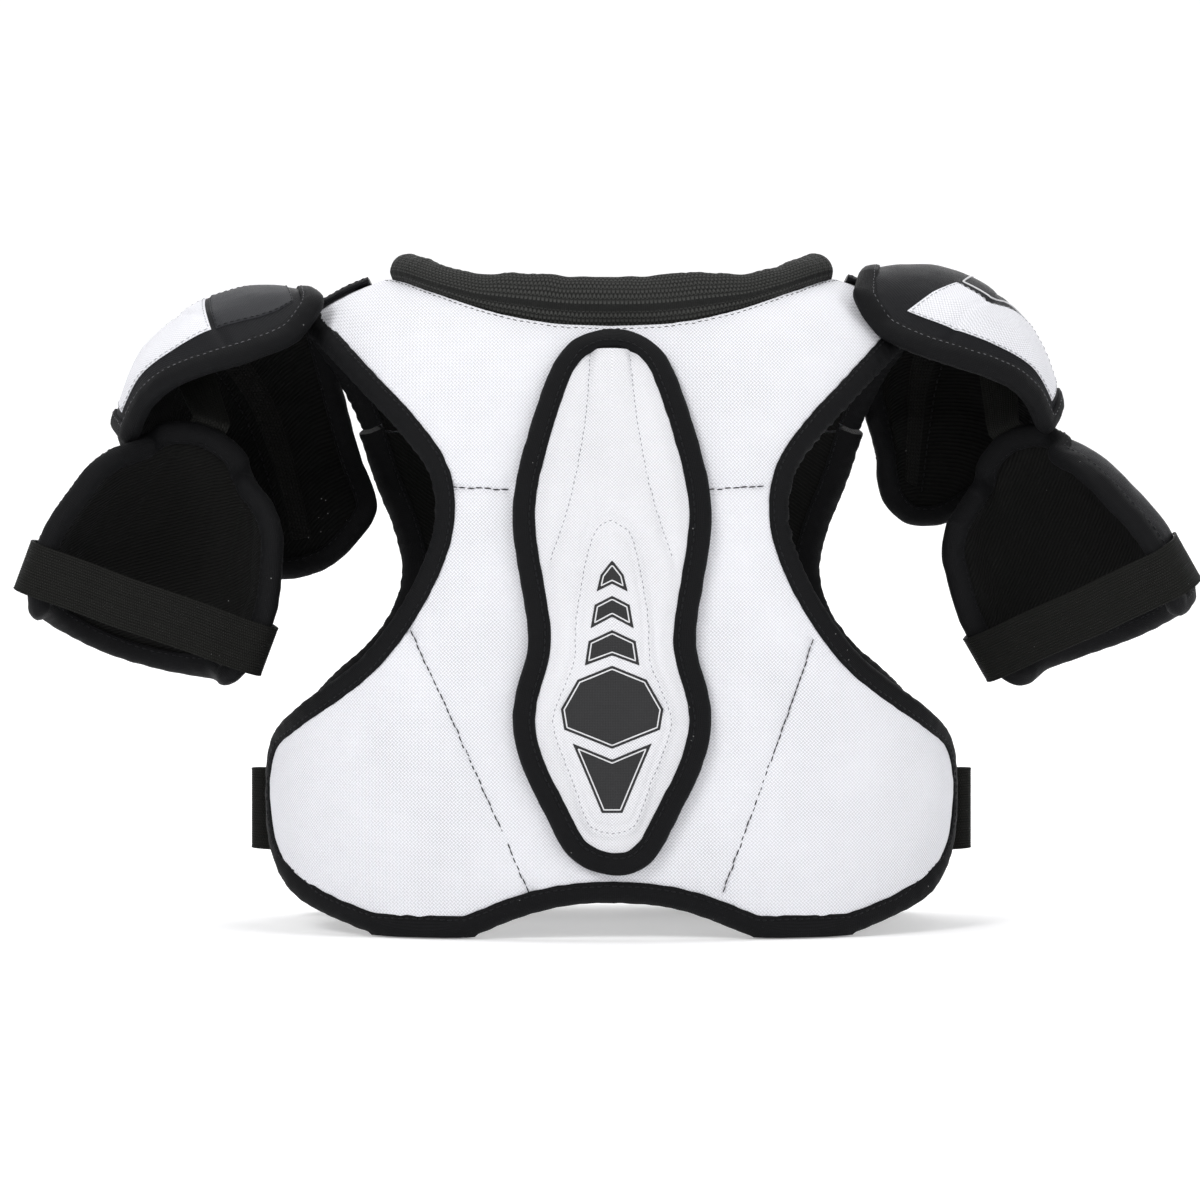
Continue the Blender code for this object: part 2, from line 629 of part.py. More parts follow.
def ring(outline, count, out, surface, lift):
    """A closed path round a pad, `out` outside its outline and `lift` off the surface,
    counted toward -Y."""
    line = np.array(outline, float)
    path = fair(np.vstack([line[:-1], line[:0:-1] * (-1, 1)]), count, closed=True)
    tangent = np.roll(path, -1, axis=0) - np.roll(path, 1, axis=0)
    path = path + unit(np.stack([tangent[:, 1], -tangent[:, 0]], axis=1)) * out
    base = surface(path)
    du, dv = surface(path + (0.5, 0)) - base, surface(path + (0, 0.5)) - base
    return base + unit(np.cross(du, dv)) * lift


def build_pad(name, outline, surface, facing, cover_top, rows, insert, bead):
    """Insert, pad and bound edge over a panel. facing is 1 on the back and -1 on the chest.
    Returns the height of the pad's face off the panel's middle."""
    middle_z = insert["middle_z"]
    inner = [
        (w * INSERT_WIDTH, middle_z + (z - middle_z) * insert["height"]) for w, z in outline
    ]
    low = cover_top + PAD_CLEAR
    grid = pad_grid(inner, INSERT_COLS, insert["rows"], surface)[:, ::facing]
    sheet(name + "_insert", grid, INSERT_T, "plastic_plate", low + INSERT_T / 2)
    low += INSERT_T + PAD_CLEAR
    grid = pad_grid(outline, PAD_COLS, rows, surface)[:, ::facing]
    sheet(name + "_pad", grid, PAD_T, "white_weave", low + PAD_T / 2)
    bead_lift = facing * (cover_top + PAD_BEAD_CLEAR + BEAD_R)
    path = ring(outline, bead["points"], bead["out"], surface, bead_lift)
    tube(name + "_binding", path, BEAD_R, "black_binding", closed=True)
    return low + PAD_T


def build_spine():
    face = build_pad(
        "spine", SPINE, on_back, facing=1, cover_top=COVER_TOP, rows=15,
        insert={"middle_z": 165, "height": 0.9, "rows": 10},
        bead={"points": 46, "out": BEAD_OUT + 0.9},
    )
    for name, outline in MARKS.items():
        y = BACK_PLAN[0][1] + SHIFT_Y - face - MARK_OFF
        plate(name, outline, y, MARK_T, "applique")


def build_sternum():
    build_pad(
        "sternum", STERNUM, on_chest, facing=-1, cover_top=COVER_TOP + CHEST_LIFT, rows=9,
        insert={"middle_z": 160, "height": 0.88, "rows": 7},
        bead={"points": 32, "out": BEAD_OUT + 0.5},
    )


# ---------------------------------------------------------------- caps
def build_tether(side):
    path = [(x * SIGN[side], TETHER_Y + SHIFT_Y, z) for x, z in TETHER[side]]
    ribbon("cap_tether_" + side, path, (0, 1, 0), TETHER_W, ELASTIC_T, "elastic")


def turned(grid, degrees, centre):
    """A grid turned about the x direction, its rear up."""
    angle = math.radians(degrees)
    p = grid - centre
    y = p[..., 1] * math.cos(angle) + p[..., 2] * math.sin(angle)
    z = -p[..., 1] * math.sin(angle) + p[..., 2] * math.cos(angle)
    return np.stack([p[..., 0], y, z], axis=-1) + centre


def build_cap(side):
    cage = np.array(CAP, float)
    if side == "left":
        spread = np.array(CAP_SPREAD_LEFT, float)
        cage[..., 0] -= spread[:, :1] * np.linspace(1, 0, cage.shape[1])
        cage[..., 2] += spread[:, 1:]
    grid = spline_grid(cage, CAP_ROWS, CAP_COLS)
    if side == "left":
        grid = turned(grid, CAP_TURN_LEFT, np.array(CAP_TURN_CENTRE))
    grid = grid + np.array(CAP_MOVE[side])
    if side == "left":
        grid[..., 0] *= -1
        grid = grid[:, ::-1]
    grid[..., 1] += SHIFT_Y
    padded_shell("cap", side, grid)
    return grid


# ---------------------------------------------------------------- arm guards
def guard_frame(side):
    """Maps w, a, d of a guard to the assembly. w grows away from the body on either side."""
    guard = GUARDS[side]
    out, lean, turn = (math.radians(guard[k]) for k in ("out", "lean", "turn"))
    down = unit(np.array([math.sin(out), math.sin(lean), -math.cos(out)]))
    depth = np.array([0.0, 1.0, 0.0])
    depth -= down * (depth @ down)
    depth /= np.linalg.norm(depth)
    width = np.cross(down, depth)
    c, t = math.cos(turn), math.sin(turn)
    width, depth = width * c + depth * t, depth * c - width * t
    at = np.array(guard["at"])

    def mapped(w, a, d):
        outer = np.multiply.outer
        p = at + outer(w, width) + outer(a, down) + outer(d, depth)
        p = p * (SIGN[side], 1, 1)
        p[..., 1] += SHIFT_Y
        return p

    return mapped


def guard_cage():
    """Half-round rows from rim to rim, in the guard's frame."""
    cage = []
    for half, depth, a_mid, a_rim, d_rim in GUARD_STATIONS:
        row = []
        for k in range(9):
            angle = (k / 8 - 0.5) * math.pi
            edge = math.sin(angle) ** 2
            a = a_mid + (a_rim - a_mid) * edge
            row.append((half * math.sin(angle), a, d_rim * edge + depth * math.cos(angle)))
        cage.append(row)
    return cage


def build_guard(side):
    to = guard_frame(side)
    own = spline_grid(guard_cage(), GUARD_ROWS, GUARD_COLS)
    grid = to(own[..., 0], own[..., 1], own[..., 2])
    if side == "left":
        grid = grid[:, ::-1]  # so that its normals face out after the mirroring
    padded_shell("guard", side, grid)

    down = to(0.0, 1.0, 0.0) - to(0.0, 0.0, 0.0)
    for name, run, width, thickness, finish in (
        ("arm_strap_", ARM_STRAP, ARM_ELASTIC_W, ELASTIC_T, "elastic"),
        ("arm_hook_", ARM_HOOK, ARM_HOOK_W, ARM_HOOK_T, "hook_loop"),
        ("arm_anchor_", ARM_ANCHOR, ARM_ELASTIC_W, ELASTIC_T, "elastic"),
    ):
        path = [to(float(w), ARM_STRAP_A, float(d)) for w, d in run]
        ribbon(name + side, path, down, width, thickness, finish)


def build_link(side, cap):
    """Elastic that hangs the guard from inside the cap, twisting from one to the other."""
    to = guard_frame(side)
    i = LINK_ROW
    j = LINK_COL if side == "right" else cap.shape[1] - 1 - LINK_COL
    head = cap[i, j] - normals(cap)[i, j] * LINK_DROP
    slope = unit(cap[i, j + 1] - cap[i, j - 1])
    width = to(1.0, 0.0, 0.0) - to(0.0, 0.0, 0.0)
    if slope @ width < 0:
        slope = -slope
    rim = to(*LINK_RIM)
    path, across = [to(*LINK_LOW), rim], [width, width]
    for k in LINK_STEPS:
        path.append(rim + (head - rim) * k)
        across.append(width * (1 - k) + slope * k)
    ribbon("arm_link_" + side, path, across, LINK_W, ELASTIC_T, "elastic")


# ---------------------------------------------------------------- side straps
def side_anchor_run():
    """The sewn part inside the back panel, then the free end."""
    distance = round_of(BACK_PLAN, SIDE_SEWN_X) + np.array(SIDE_SEWN_STEPS)
    x, y = along(BACK_PLAN, distance)
    x_next, y_next = along(BACK_PLAN, distance + 0.5)
    inward = unit(np.stack([-(y_next - y), x_next - x], axis=1))
    sewn = np.stack([x, y], axis=1) + inward * SIDE_SEWN_DEPTH
    return [tuple(p) for p in sewn] + SIDE_ANCHOR_END


def build_side_straps(side):
    for name, run, width, thickness, finish in (
        ("side_anchor_", side_anchor_run(), SIDE_ELASTIC_W, ELASTIC_T, "elastic"),
        ("side_strap_", SIDE_STRAP, SIDE_ELASTIC_W, ELASTIC_T, "elastic"),
        ("side_hook_", SIDE_HOOK, SIDE_HOOK_W, SIDE_PATCH_T, "hook_loop"),
        ("loop_patch_", SIDE_LOOP, SIDE_LOOP_W, SIDE_PATCH_T, "hook_loop"),
    ):
        path = [(x * SIGN[side], y + SHIFT_Y, SIDE_STRAP_Z) for x, y in run]
        ribbon(name + side, path, (0, 0, 1), width, thickness, finish)


# ---------------------------------------------------------------- folds
def fold(name, at, on=None):
    """An empty on a fold's axis, for the pieces that turn about it."""
    empty = bpy.data.objects.new(name, None)
    empty.empty_display_size = EMPTY_SIZE * MM
    empty.location = [float(c) * MM for c in at]
    COLLECTION.objects.link(empty)
    if on:
        hang([empty], on)
    return empty


def hang(objects, on):
    """Parents objects to an empty, leaving them where they are."""
    bpy.context.view_layer.update()
    for obj in objects:
        obj.parent = on
        obj.matrix_parent_inverse = on.matrix_world.inverted()


def named(*starts):
    return [obj for obj in COLLECTION.objects if obj.name.startswith(starts)]


def shifted(point, sign=1):
    x, y, z = point
    return x * sign, y + SHIFT_Y, z


def hang_on_folds():
    chest = fold("fold_chest", shifted(CHEST_FOLD))
    hang(named("chest_", "sternum_", "collar_front", "loop_patch_"), chest)
    for side, sign in SIGN.items():
        to = guard_frame(side)
        strap = fold("fold_side_strap_" + side, shifted(SIDE_STRAP_FOLD, sign))
        hang(named("side_strap_" + side, "side_hook_" + side), strap)
        cap = fold("fold_cap_" + side, shifted(CAP_FOLD[side]))
        hang(named(*(f"cap_{part}_{side}" for part in SHELL_PARTS)), cap)
        arm = fold("fold_arm_" + side, to(*ARM_FOLD), cap)
        hang(named("arm_link_" + side), arm)
        guard = fold("fold_guard_" + side, to(*GUARD_FOLD), arm)
        guard_names = [f"guard_{part}_{side}" for part in SHELL_PARTS]
        hang(named(*guard_names, "arm_anchor_" + side), guard)
        elastic = fold("fold_arm_strap_" + side, to(*ARM_STRAP_FOLD), guard)
        hang(named("arm_strap_" + side, "arm_hook_" + side), elastic)


# ---------------------------------------------------------------- assembly
def build_all():
    back = build_back()
    chest = build_chest()
    build_spine()
    build_sternum()
    yokes = {}
    for side in SIGN:
        yokes[side] = build_yoke(side)
        build_tether(side)
        cap = build_cap(side)
        build_guard(side)
        build_link(side, cap)
        build_side_straps(side)
    build_collar_back(back, yokes)
    build_collar_front(chest)
    hang_on_folds()


build_all()
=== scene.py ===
"""Looks of youth ice hockey shoulder pads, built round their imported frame: woven covers, bound
edges, stitching, moulded spine pad, knitted linings and ribbed elastics.

The pads stand on their hems at z = 0. The back panel is at -y, the chest panel at +y, and the
wearer's right is +x. Points are worked out in millimetres and written in metres.

Words used throughout: `flat` points are (distance round the body from the middle, z), `up` is
the unit direction off a sheet, `out` and `across` are directions beside a path, `sign` is 1 on
the right and -1 on the left, and `rc` is a (row, column) place on a grid as fractions.
"""

import math

import bmesh
import bpy
import mathutils
import numpy as np
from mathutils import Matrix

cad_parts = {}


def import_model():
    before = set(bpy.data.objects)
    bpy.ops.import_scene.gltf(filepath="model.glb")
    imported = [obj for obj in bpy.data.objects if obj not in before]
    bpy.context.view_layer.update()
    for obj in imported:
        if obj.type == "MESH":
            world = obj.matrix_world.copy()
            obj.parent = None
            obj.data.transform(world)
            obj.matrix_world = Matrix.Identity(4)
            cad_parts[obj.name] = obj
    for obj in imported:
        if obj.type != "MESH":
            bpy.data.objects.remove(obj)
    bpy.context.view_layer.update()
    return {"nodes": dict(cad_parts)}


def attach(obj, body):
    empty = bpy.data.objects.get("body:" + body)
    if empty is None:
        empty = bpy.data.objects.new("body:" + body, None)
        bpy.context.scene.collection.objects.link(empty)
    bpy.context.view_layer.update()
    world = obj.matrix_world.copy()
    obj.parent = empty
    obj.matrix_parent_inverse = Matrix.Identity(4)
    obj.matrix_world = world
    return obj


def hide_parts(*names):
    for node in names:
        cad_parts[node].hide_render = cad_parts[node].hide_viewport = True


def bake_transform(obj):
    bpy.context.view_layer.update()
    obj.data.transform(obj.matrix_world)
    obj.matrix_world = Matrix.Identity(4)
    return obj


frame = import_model()

MM = 0.001
SIDES = (("right", 1), ("left", -1))

# ------------------------------------------------------------ driving dimensions (mm)
FOAM_T = 6.0  # torso foam core
SKIN_T = 1.2  # woven cover and knitted lining
GAP = 0.5  # clearance kept between laid-up layers
CHEST_LIFT = 0.7  # extra clearance under the chest cover, over its tighter bends
COVER_AT = FOAM_T / 2 + GAP + SKIN_T  # outer face of the covers
INSERT_T = 1.2
PAD_AT = COVER_AT + 2 * (GAP + 0.2) + INSERT_T  # underside of the spine pad
BEAD_R = 4.5  # half the thickness of the bound edges
BEAD_OUT = 5.6  # bound edge's centre line, outside the panel's edge
SHIFT_Y = 2.57  # moves everything so that the origin sits in the middle of the depth

RIDGE_Y = 0.0  # where the back panel ends, on top of the shoulder
FRONT_RIDGE_Y = 0.6  # where the front yokes begin
BACK_FLEX_Z = 200.0  # above this the back panel leans forward to the shoulder
FRONT_FLEX_Z = 190.0  # above this the chest leans back
LEAN = 2.3  # power of the lean
CHEST_TOP = 264.0  # chest panel's top edge, where it folds on the yokes
YOKE_LOW = CHEST_TOP + 3.2

ELASTIC_T = 1.4
ARM_ELASTIC_W = 26.0
SIDE_ELASTIC_W = 42.0
COLLAR_R = 8.5
COLLAR_OUT = 9.6  # collar roll's centre line, outside the neck edge

# plan curves, centre to side: x, y
BACK_PLAN = [
    (0, -105), (30, -104.6), (60, -102.5), (85, -98.5), (108, -92), (130, -81.5), (149, -67.5),
    (163, -51), (171.5, -34), (175, -17), (176, 0)]
CHEST_PLAN = [
    (0, 100), (30, 99.6), (58, 97), (85, 91.5), (110, 83), (132, 71.5), (147, 59.5),
    (153.5, 49), (155, 38), (155, 20), (155, 0), (155, -20)]
# shoulder's top line: x, z
RIDGE = [(0, 353), (60, 349), (95, 342), (116, 334.5), (135, 327.5), (154, 318), (185, 301)]

# back panel's edge, from the middle of the hem: x, z
BACK_HEM = [
    (0, 28), (20, 27), (42, 23), (62, 15), (78, 8), (86, 6.4), (100, 6.4), (112, 8.5),
    (128, 14), (144, 19.5), (157, 26)]
BACK_SIDE = [
    (157, 26), (165, 33), (169.5, 43), (172.3, 58), (173.4, 74), (170, 91), (162, 101),
    (151, 109), (131, 123.5), (113, 139), (101.5, 155), (92.5, 170), (85, 185), (80.3, 200),
    (77.8, 217), (80.5, 232), (88, 246), (101, 262), (117, 279), (133, 296), (152, 315.5)]
BACK_TOP = [
    (0, 305), (30, 306.5), (58, 312), (88, 322.5), (108, 331), (117, 333.7), (135, 326.9),
    (152, 315.5)]

# chest panel's edge: distance round the body from the middle, z
CHEST_HEM = [
    (0, 32), (22, 30), (44, 24), (62, 15), (78, 8), (88, 6.4), (102, 6.4), (118, 8.5),
    (138, 14), (156, 19), (176, 26)]
CHEST_SIDE = [
    (176, 26), (192, 33), (203, 43), (208, 56), (208, 72), (202, 86), (189, 98), (170, 109),
    (148, 122), (129, 137), (115, 154), (107, 171), (105, 188), (108, 204), (114, 220),
    (121, 236), (127, 250), (131, CHEST_TOP)]
CHEST_HEAD = [
    (0, 251), (30, 253), (56, 259), (78, CHEST_TOP), (104, CHEST_TOP), (131, CHEST_TOP)]

# front yoke: distance round the body, z
YOKE_FOOT = [(79, YOKE_LOW), (104, YOKE_LOW), (131.5, YOKE_LOW)]
YOKE_IN = [(79, YOKE_LOW), (84, 284), (95, 306), (110, 325), (120, 333.2)]
YOKE_OUT = [(131.5, YOKE_LOW), (139, 282), (149, 298), (166, 315.5)]
YOKE_HEAD = [(120, 333.2), (142, 326), (166, 315.5)]

# bound outlines of the two raised pads, bottom to top: half width, z
SPINE = [
    (0, 41), (8, 42.6), (13.9, 48.3), (18.8, 58), (24.6, 70), (30.8, 82), (35.8, 95),
    (38.3, 108), (36.9, 120), (32.9, 133), (30.2, 146), (31.0, 160), (33.4, 175), (36.3, 192),
    (38.2, 209), (36.9, 224), (33.0, 240), (28.2, 256), (22.9, 271), (19.2, 280),
    (13.4, 287.2), (6.5, 290), (0, 290.5)]
STERNUM = [
    (0, 86), (8, 88), (16, 96), (24, 110), (31, 127), (34, 145), (33, 163), (31.5, 181),
    (32.5, 199), (34, 213), (32, 225), (22, 233), (10, 236), (0, 237)]

# appliques on the spine pad: x, z corners
MARKS = {
    "spine_chevron_top": [
        (0, 188.5), (5.6, 181.5), (7.6, 173.2), (0, 177), (-7.6, 173.2), (-5.6, 181.5)],
    "spine_chevron_mid": [
        (0, 171), (8.6, 166.6), (10.6, 155), (0, 160.6), (-10.6, 155), (-8.6, 166.6)],
    "spine_chevron_low": [
        (0, 154), (11.6, 148.6), (13.4, 136.6), (0, 141.5), (-13.4, 136.6), (-11.6, 148.6)],
    "spine_badge": [
        (0, 136.4), (17, 129.5), (25, 115), (23.4, 104.8), (0, 95.4), (-23.4, 104.8),
        (-25, 115), (-17, 129.5)],
    "spine_shield": [(-19.4, 98), (0, 90), (19.4, 98), (5, 63.6), (-5, 63.6)],
}

# shoulder cap: rows from its rear edge over the top to its front edge, columns from neck to arm
# (right side), each x, y, z
CAP = [
    [(137, -51, 324), (148, -59, 309.5), (170, -64, 299.5), (195, -62, 291.5),
     (216, -52, 282), (229, -35, 266)],
    [(141, -33, 335), (154, -41, 331), (174, -46, 323.5), (198, -45, 314),
     (220, -38, 297), (234, -24, 273)],
    [(145, -4, 341), (158, -4, 342), (176, -4, 341), (200, -2, 331.5),
     (223, 0, 309), (236, 3, 279)],
    [(145, 26, 336), (157, 35, 333.5), (176, 40, 329), (199, 42, 317),
     (221, 40, 294), (234, 33, 266)],
    [(145, 52, 315), (155, 61, 308), (173, 66, 300), (194, 67, 288),
     (215, 62, 270), (230, 47, 256)],
    [(149, 65, 281), (156, 70, 270), (171, 73, 263), (191, 72, 257),
     (210, 66, 249), (223.5, 54.5, 246)],
    [(154, 64, 248), (158.5, 68, 231), (168, 71, 221), (182, 71, 219.5),
     (196, 67, 225), (210, 60, 233)],
]
CAP_SIZE = (230, 115)  # nominal length over the rows and over the columns
CAP_CENTRE = (176.0, 5.0, 285.0)  # the left cap is turned about this point
CAP_TURN_LEFT = 9.0  # degrees, rear edge up
CAP_MOVE_LEFT = (21.0, 2.0, -13.0)
CAP_MOVE_RIGHT = (-4.0, 2.0, 0.0)
# how far each row of the left cap reaches in at its neck side, and down
CAP_SPREAD_LEFT = [(0, 0), (0, 0), (0, 0), (2, 0), (8, 0), (21, -2), (38, -7)]

# upper-arm guard in its own frame: w across the arm, a down the arm, d away from the opening
GUARD_ROWS = [  # half width, depth, a at the middle, a at the rims, depth of the rims
    (31, 30, 0, 15, 15),
    (45, 42, 24, 27, 3),
    (53, 49, 47, 48, 0),
    (58, 52, 70, 70, 0),
    (57.5, 52, 92, 90, 0),
    (53, 50, 114, 104, 3),
]
GUARD_SIZE = (112, 165)  # nominal length over the rows and over the columns
# where each guard hangs: middle of its top edge in the rim plane, tilt outward, lean, turn about
# its own length (degrees)
GUARDS = {
    "right": {"at": (199.24, -29.0, 241.0), "out": 30.0, "lean": 4.0, "turn": -37.0},
    "left": {"at": (208.75, -47.0, 249.0), "out": 20.5, "lean": 2.0, "turn": -12.0},
}
CAP_REST = (-250.0, -36.0, 250.0)  # where the left cap's rim rests on the left guard

LINK_HEAD = (3, 4)  # row and column of the cap that the arm link is sewn to

# webbing from the top of the shoulder to inside the cap: x, z
TETHER = {
    "right": [(123.5, 337.8), (130, 335.3), (136, 332.6), (144, 330.8), (152, 331.2)],
    "left": [(127, 336.4), (138, 331.8), (150, 325.2), (160, 320.4), (173, 319.2)],
}
TETHER_Y = -3.0


# ------------------------------------------------------------ numbers and curves
FULL_TURN = 6.283  # rounded, as the ripples take it


def unit(v):
    return v / np.maximum(np.linalg.norm(v, axis=-1, keepdims=True), 1e-9)


def step(x, start, end):
    """0 at start, 1 at end, smooth between."""
    t = np.clip((np.asarray(x, float) - start) / (end - start), 0, 1)
    return t * t * (3 - 2 * t)


def trough(distance, width):
    return np.exp(-((distance / width) ** 2))


def ripple(seed, wave, *coords):
    """Irregular waves of about this length over these coordinates, roughly -1 to 1."""
    rng = np.random.default_rng(seed)
    waves = 14
    total = 0.0
    for _ in range(waves):
        heading = unit(rng.normal(size=len(coords)))
        rate = 2 * math.pi / (wave * rng.uniform(0.65, 1.6))
        travel = sum(a * c for a, c in zip(heading, coords))
        total = total + np.sin(rate * travel + rng.uniform(0, FULL_TURN))
    return total / math.sqrt(waves)


def run_of(points):
    """Distance along a polyline at each of its points."""
    return np.concatenate([[0], np.cumsum(np.linalg.norm(np.diff(points, axis=0), axis=1))])


def sampled(want, run, points):
    return np.stack([np.interp(want, run, column) for column in points.T], axis=-1)


def fair(points, count, closed=False):
    """Points evenly spaced along a smooth curve through these points."""
    knots = np.array(points, float)
    if closed:
        knots = np.vstack([knots[-2:], knots, knots[:2]])
    at = run_of(knots)
    slope = np.empty_like(knots)
    slope[1:-1] = (knots[2:] - knots[:-2]) / (at[2:] - at[:-2])[:, None]
    slope[0] = (knots[1] - knots[0]) / (at[1] - at[0])
    slope[-1] = (knots[-1] - knots[-2]) / (at[-1] - at[-2])
    first, last = (at[2], at[-3]) if closed else (at[0], at[-1])
    fine_at = np.linspace(first, last, 40 * len(knots))
    k = np.clip(np.searchsorted(at, fine_at, side="right") - 1, 0, len(at) - 2)
    gap = (at[k + 1] - at[k])[:, None]
    t = ((fine_at - at[k]) / (at[k + 1] - at[k]))[:, None]
    fine = (
        (2 * t**3 - 3 * t**2 + 1) * knots[k]
        + (t**3 - 2 * t**2 + t) * gap * slope[k]
        + (3 * t**2 - 2 * t**3) * knots[k + 1]
        + (t**3 - t**2) * gap * slope[k + 1]
    )
    run = run_of(fine)
    want = np.linspace(0, run[-1], count + 1)[:-1] if closed else np.linspace(0, run[-1], count)
    return sampled(want, run, fine)


def spaced(points, cuts):
    """Points of the smooth curve at these fractions of its length."""
    return sampled(cuts, np.linspace(0, 1, 401), fair(points, 401))


def polyline(points, count):
    """Points evenly along straight runs between these."""
    corners = np.array(points, float)
    run = run_of(corners)
    return sampled(np.linspace(0, run[-1], count), run, corners)


def near(points, line):
    """Distance from each flat point to a polyline."""
    p, line = points.reshape(-1, 2), np.array(line, float)
    best = np.full(len(p), 1e9)
    for a, b in zip(line[:-1], line[1:]):
        ab = b - a
        t = np.clip((p - a) @ ab / max(ab @ ab, 1e-9), 0, 1)
        best = np.minimum(best, np.linalg.norm(p - a - t[:, None] * ab, axis=1))
    return best.reshape(points.shape[:-1])


def near_any(points, lines, size=1.0):
    """Distance to the nearest of several smooth lines, scaled by size."""
    return np.minimum.reduce([near(points, fair(np.array(line) * size, 40)) for line in lines])


def within(points, loop):
    """True for each flat point inside a closed outline."""
    x, y = points[..., 0], points[..., 1]
    hit = np.zeros(x.shape, bool)
    for (x1, y1), (x2, y2) in zip(loop, np.roll(loop, -1, axis=0)):
        if y1 != y2:
            level = (y1 > y) != (y2 > y)
            hit ^= level & (x < (x2 - x1) * (y - y1) / (y2 - y1) + x1)
    return hit


def inward(points, loop):
    """Distance inside a closed outline, negative outside."""
    distance = near(points, np.vstack([loop, loop[:1]]))
    return np.where(within(points, loop), distance, -distance)


def mirrored(half):
    """A closed outline from its right half, bottom to top, whose ends are on the middle."""
    line = np.array(half, float)
    return np.vstack([line[:-1], line[:0:-1] * (-1, 1)])


def both_ways(half):
    """An open line across the middle, from its half on the right."""
    line = np.array(half, float)
    return np.vstack([line[:0:-1] * (-1, 1), line])


def signed_area(loop):
    """Twice a closed outline's area, positive when it runs anticlockwise."""
    x, y = loop.T
    return np.sum(x * np.roll(y, -1) - np.roll(x, -1) * y)


def headings(path, closed=False):
    if closed:
        return np.roll(path, -1, axis=0) - np.roll(path, 1, axis=0)
    return np.gradient(path, axis=0)


def square_to(path, other, closed=False):
    """Unit directions square to a path and to another direction."""
    return unit(np.cross(unit(headings(path, closed)), other))


def sideways(path, up, out, closed=False):
    """Unit directions beside a path, square to `up` and on the same side as `out`."""
    side = square_to(path, up, closed)
    return side * np.sign(np.sum(side * out, axis=1))[:, None]


# ------------------------------------------------------------ grids [row, column]
def coons(bottom, top, left, right, cuts=None):
    """A grid between four boundary polylines that share their corners. cuts spaces columns."""
    u = (np.linspace(0, 1, len(bottom)) if cuts is None else np.array(cuts))[None, :, None]
    v = np.linspace(0, 1, len(left))[:, None, None]
    ruled_v = (1 - v) * bottom[None] + v * top[None]
    ruled_u = (1 - u) * left[:, None] + u * right[:, None]
    low = (1 - u) * (1 - v) * bottom[0] + u * (1 - v) * bottom[-1]
    return ruled_v + ruled_u - (low + (1 - u) * v * top[0] + u * v * top[-1])


def two_sided(half):
    """A grid and its mirror image across the middle, as one grid."""
    other = half[:, :0:-1].copy()
    other[..., 0] *= -1
    return np.concatenate([other, half], axis=1)


def normals(grid):
    return unit(np.cross(np.gradient(grid, axis=1), np.gradient(grid, axis=0)))


def spline_grid(cage, rows, cols):
    """A smooth grid through a cage of points."""
    wide = np.array([fair(row, cols) for row in np.array(cage, float)])
    return np.array([fair(wide[:, j], rows) for j in range(cols)]).transpose(1, 0, 2)


def fractions(rows, cols):
    """Row and column fractions of every point of a grid."""
    r, c = np.linspace(0, 1, rows), np.linspace(0, 1, cols)
    return np.stack(np.meshgrid(r, c, indexing="ij"), axis=-1)


def surface_at(grid, rc):
    """Values of a grid at fractions (row, column)."""
    rc = np.asarray(rc, float)
    r, c = rc[..., 0] * (grid.shape[0] - 1), rc[..., 1] * (grid.shape[1] - 1)
    i = np.clip(r.astype(int), 0, grid.shape[0] - 2)
    j = np.clip(c.astype(int), 0, grid.shape[1] - 2)
    v, u = (r - i)[..., None], (c - j)[..., None]
    near_row = (1 - u) * grid[i, j] + u * grid[i, j + 1]
    return (1 - v) * near_row + v * ((1 - u) * grid[i + 1, j] + u * grid[i + 1, j + 1])


def on_sheet(grid, up, height, rc, extra=0.0):
    """Points this far off a grid at fractions (row, column), and their directions off it."""
    away = unit(surface_at(up, rc))
    return surface_at(grid, rc) + away * (surface_at(height[..., None], rc) + extra), away


def grid_runs(grid):
    """Distances in mm along a grid's rows and along its columns."""
    across = np.cumsum(np.linalg.norm(np.diff(grid, axis=1), axis=-1), axis=1)
    along_it = np.cumsum(np.linalg.norm(np.diff(grid, axis=0), axis=-1), axis=0)
    return np.pad(across, ((0, 0), (1, 0))), np.pad(along_it, ((1, 0), (0, 0)))


def cloth_uv(grid):
    """Distances in mm across and along a grid, from its middle."""
    u, v = grid_runs(grid)
    return np.stack([u - u[:, u.shape[1] // 2][:, None], v - v[v.shape[0] // 2][None]], axis=-1)


def rim_gap(grid):
    """How far each grid point is from the nearest edge of its sheet, in mm."""
    u, v = grid_runs(grid)
    return np.minimum(np.minimum(u, u[:, -1:] - u), np.minimum(v, v[-1:] - v))


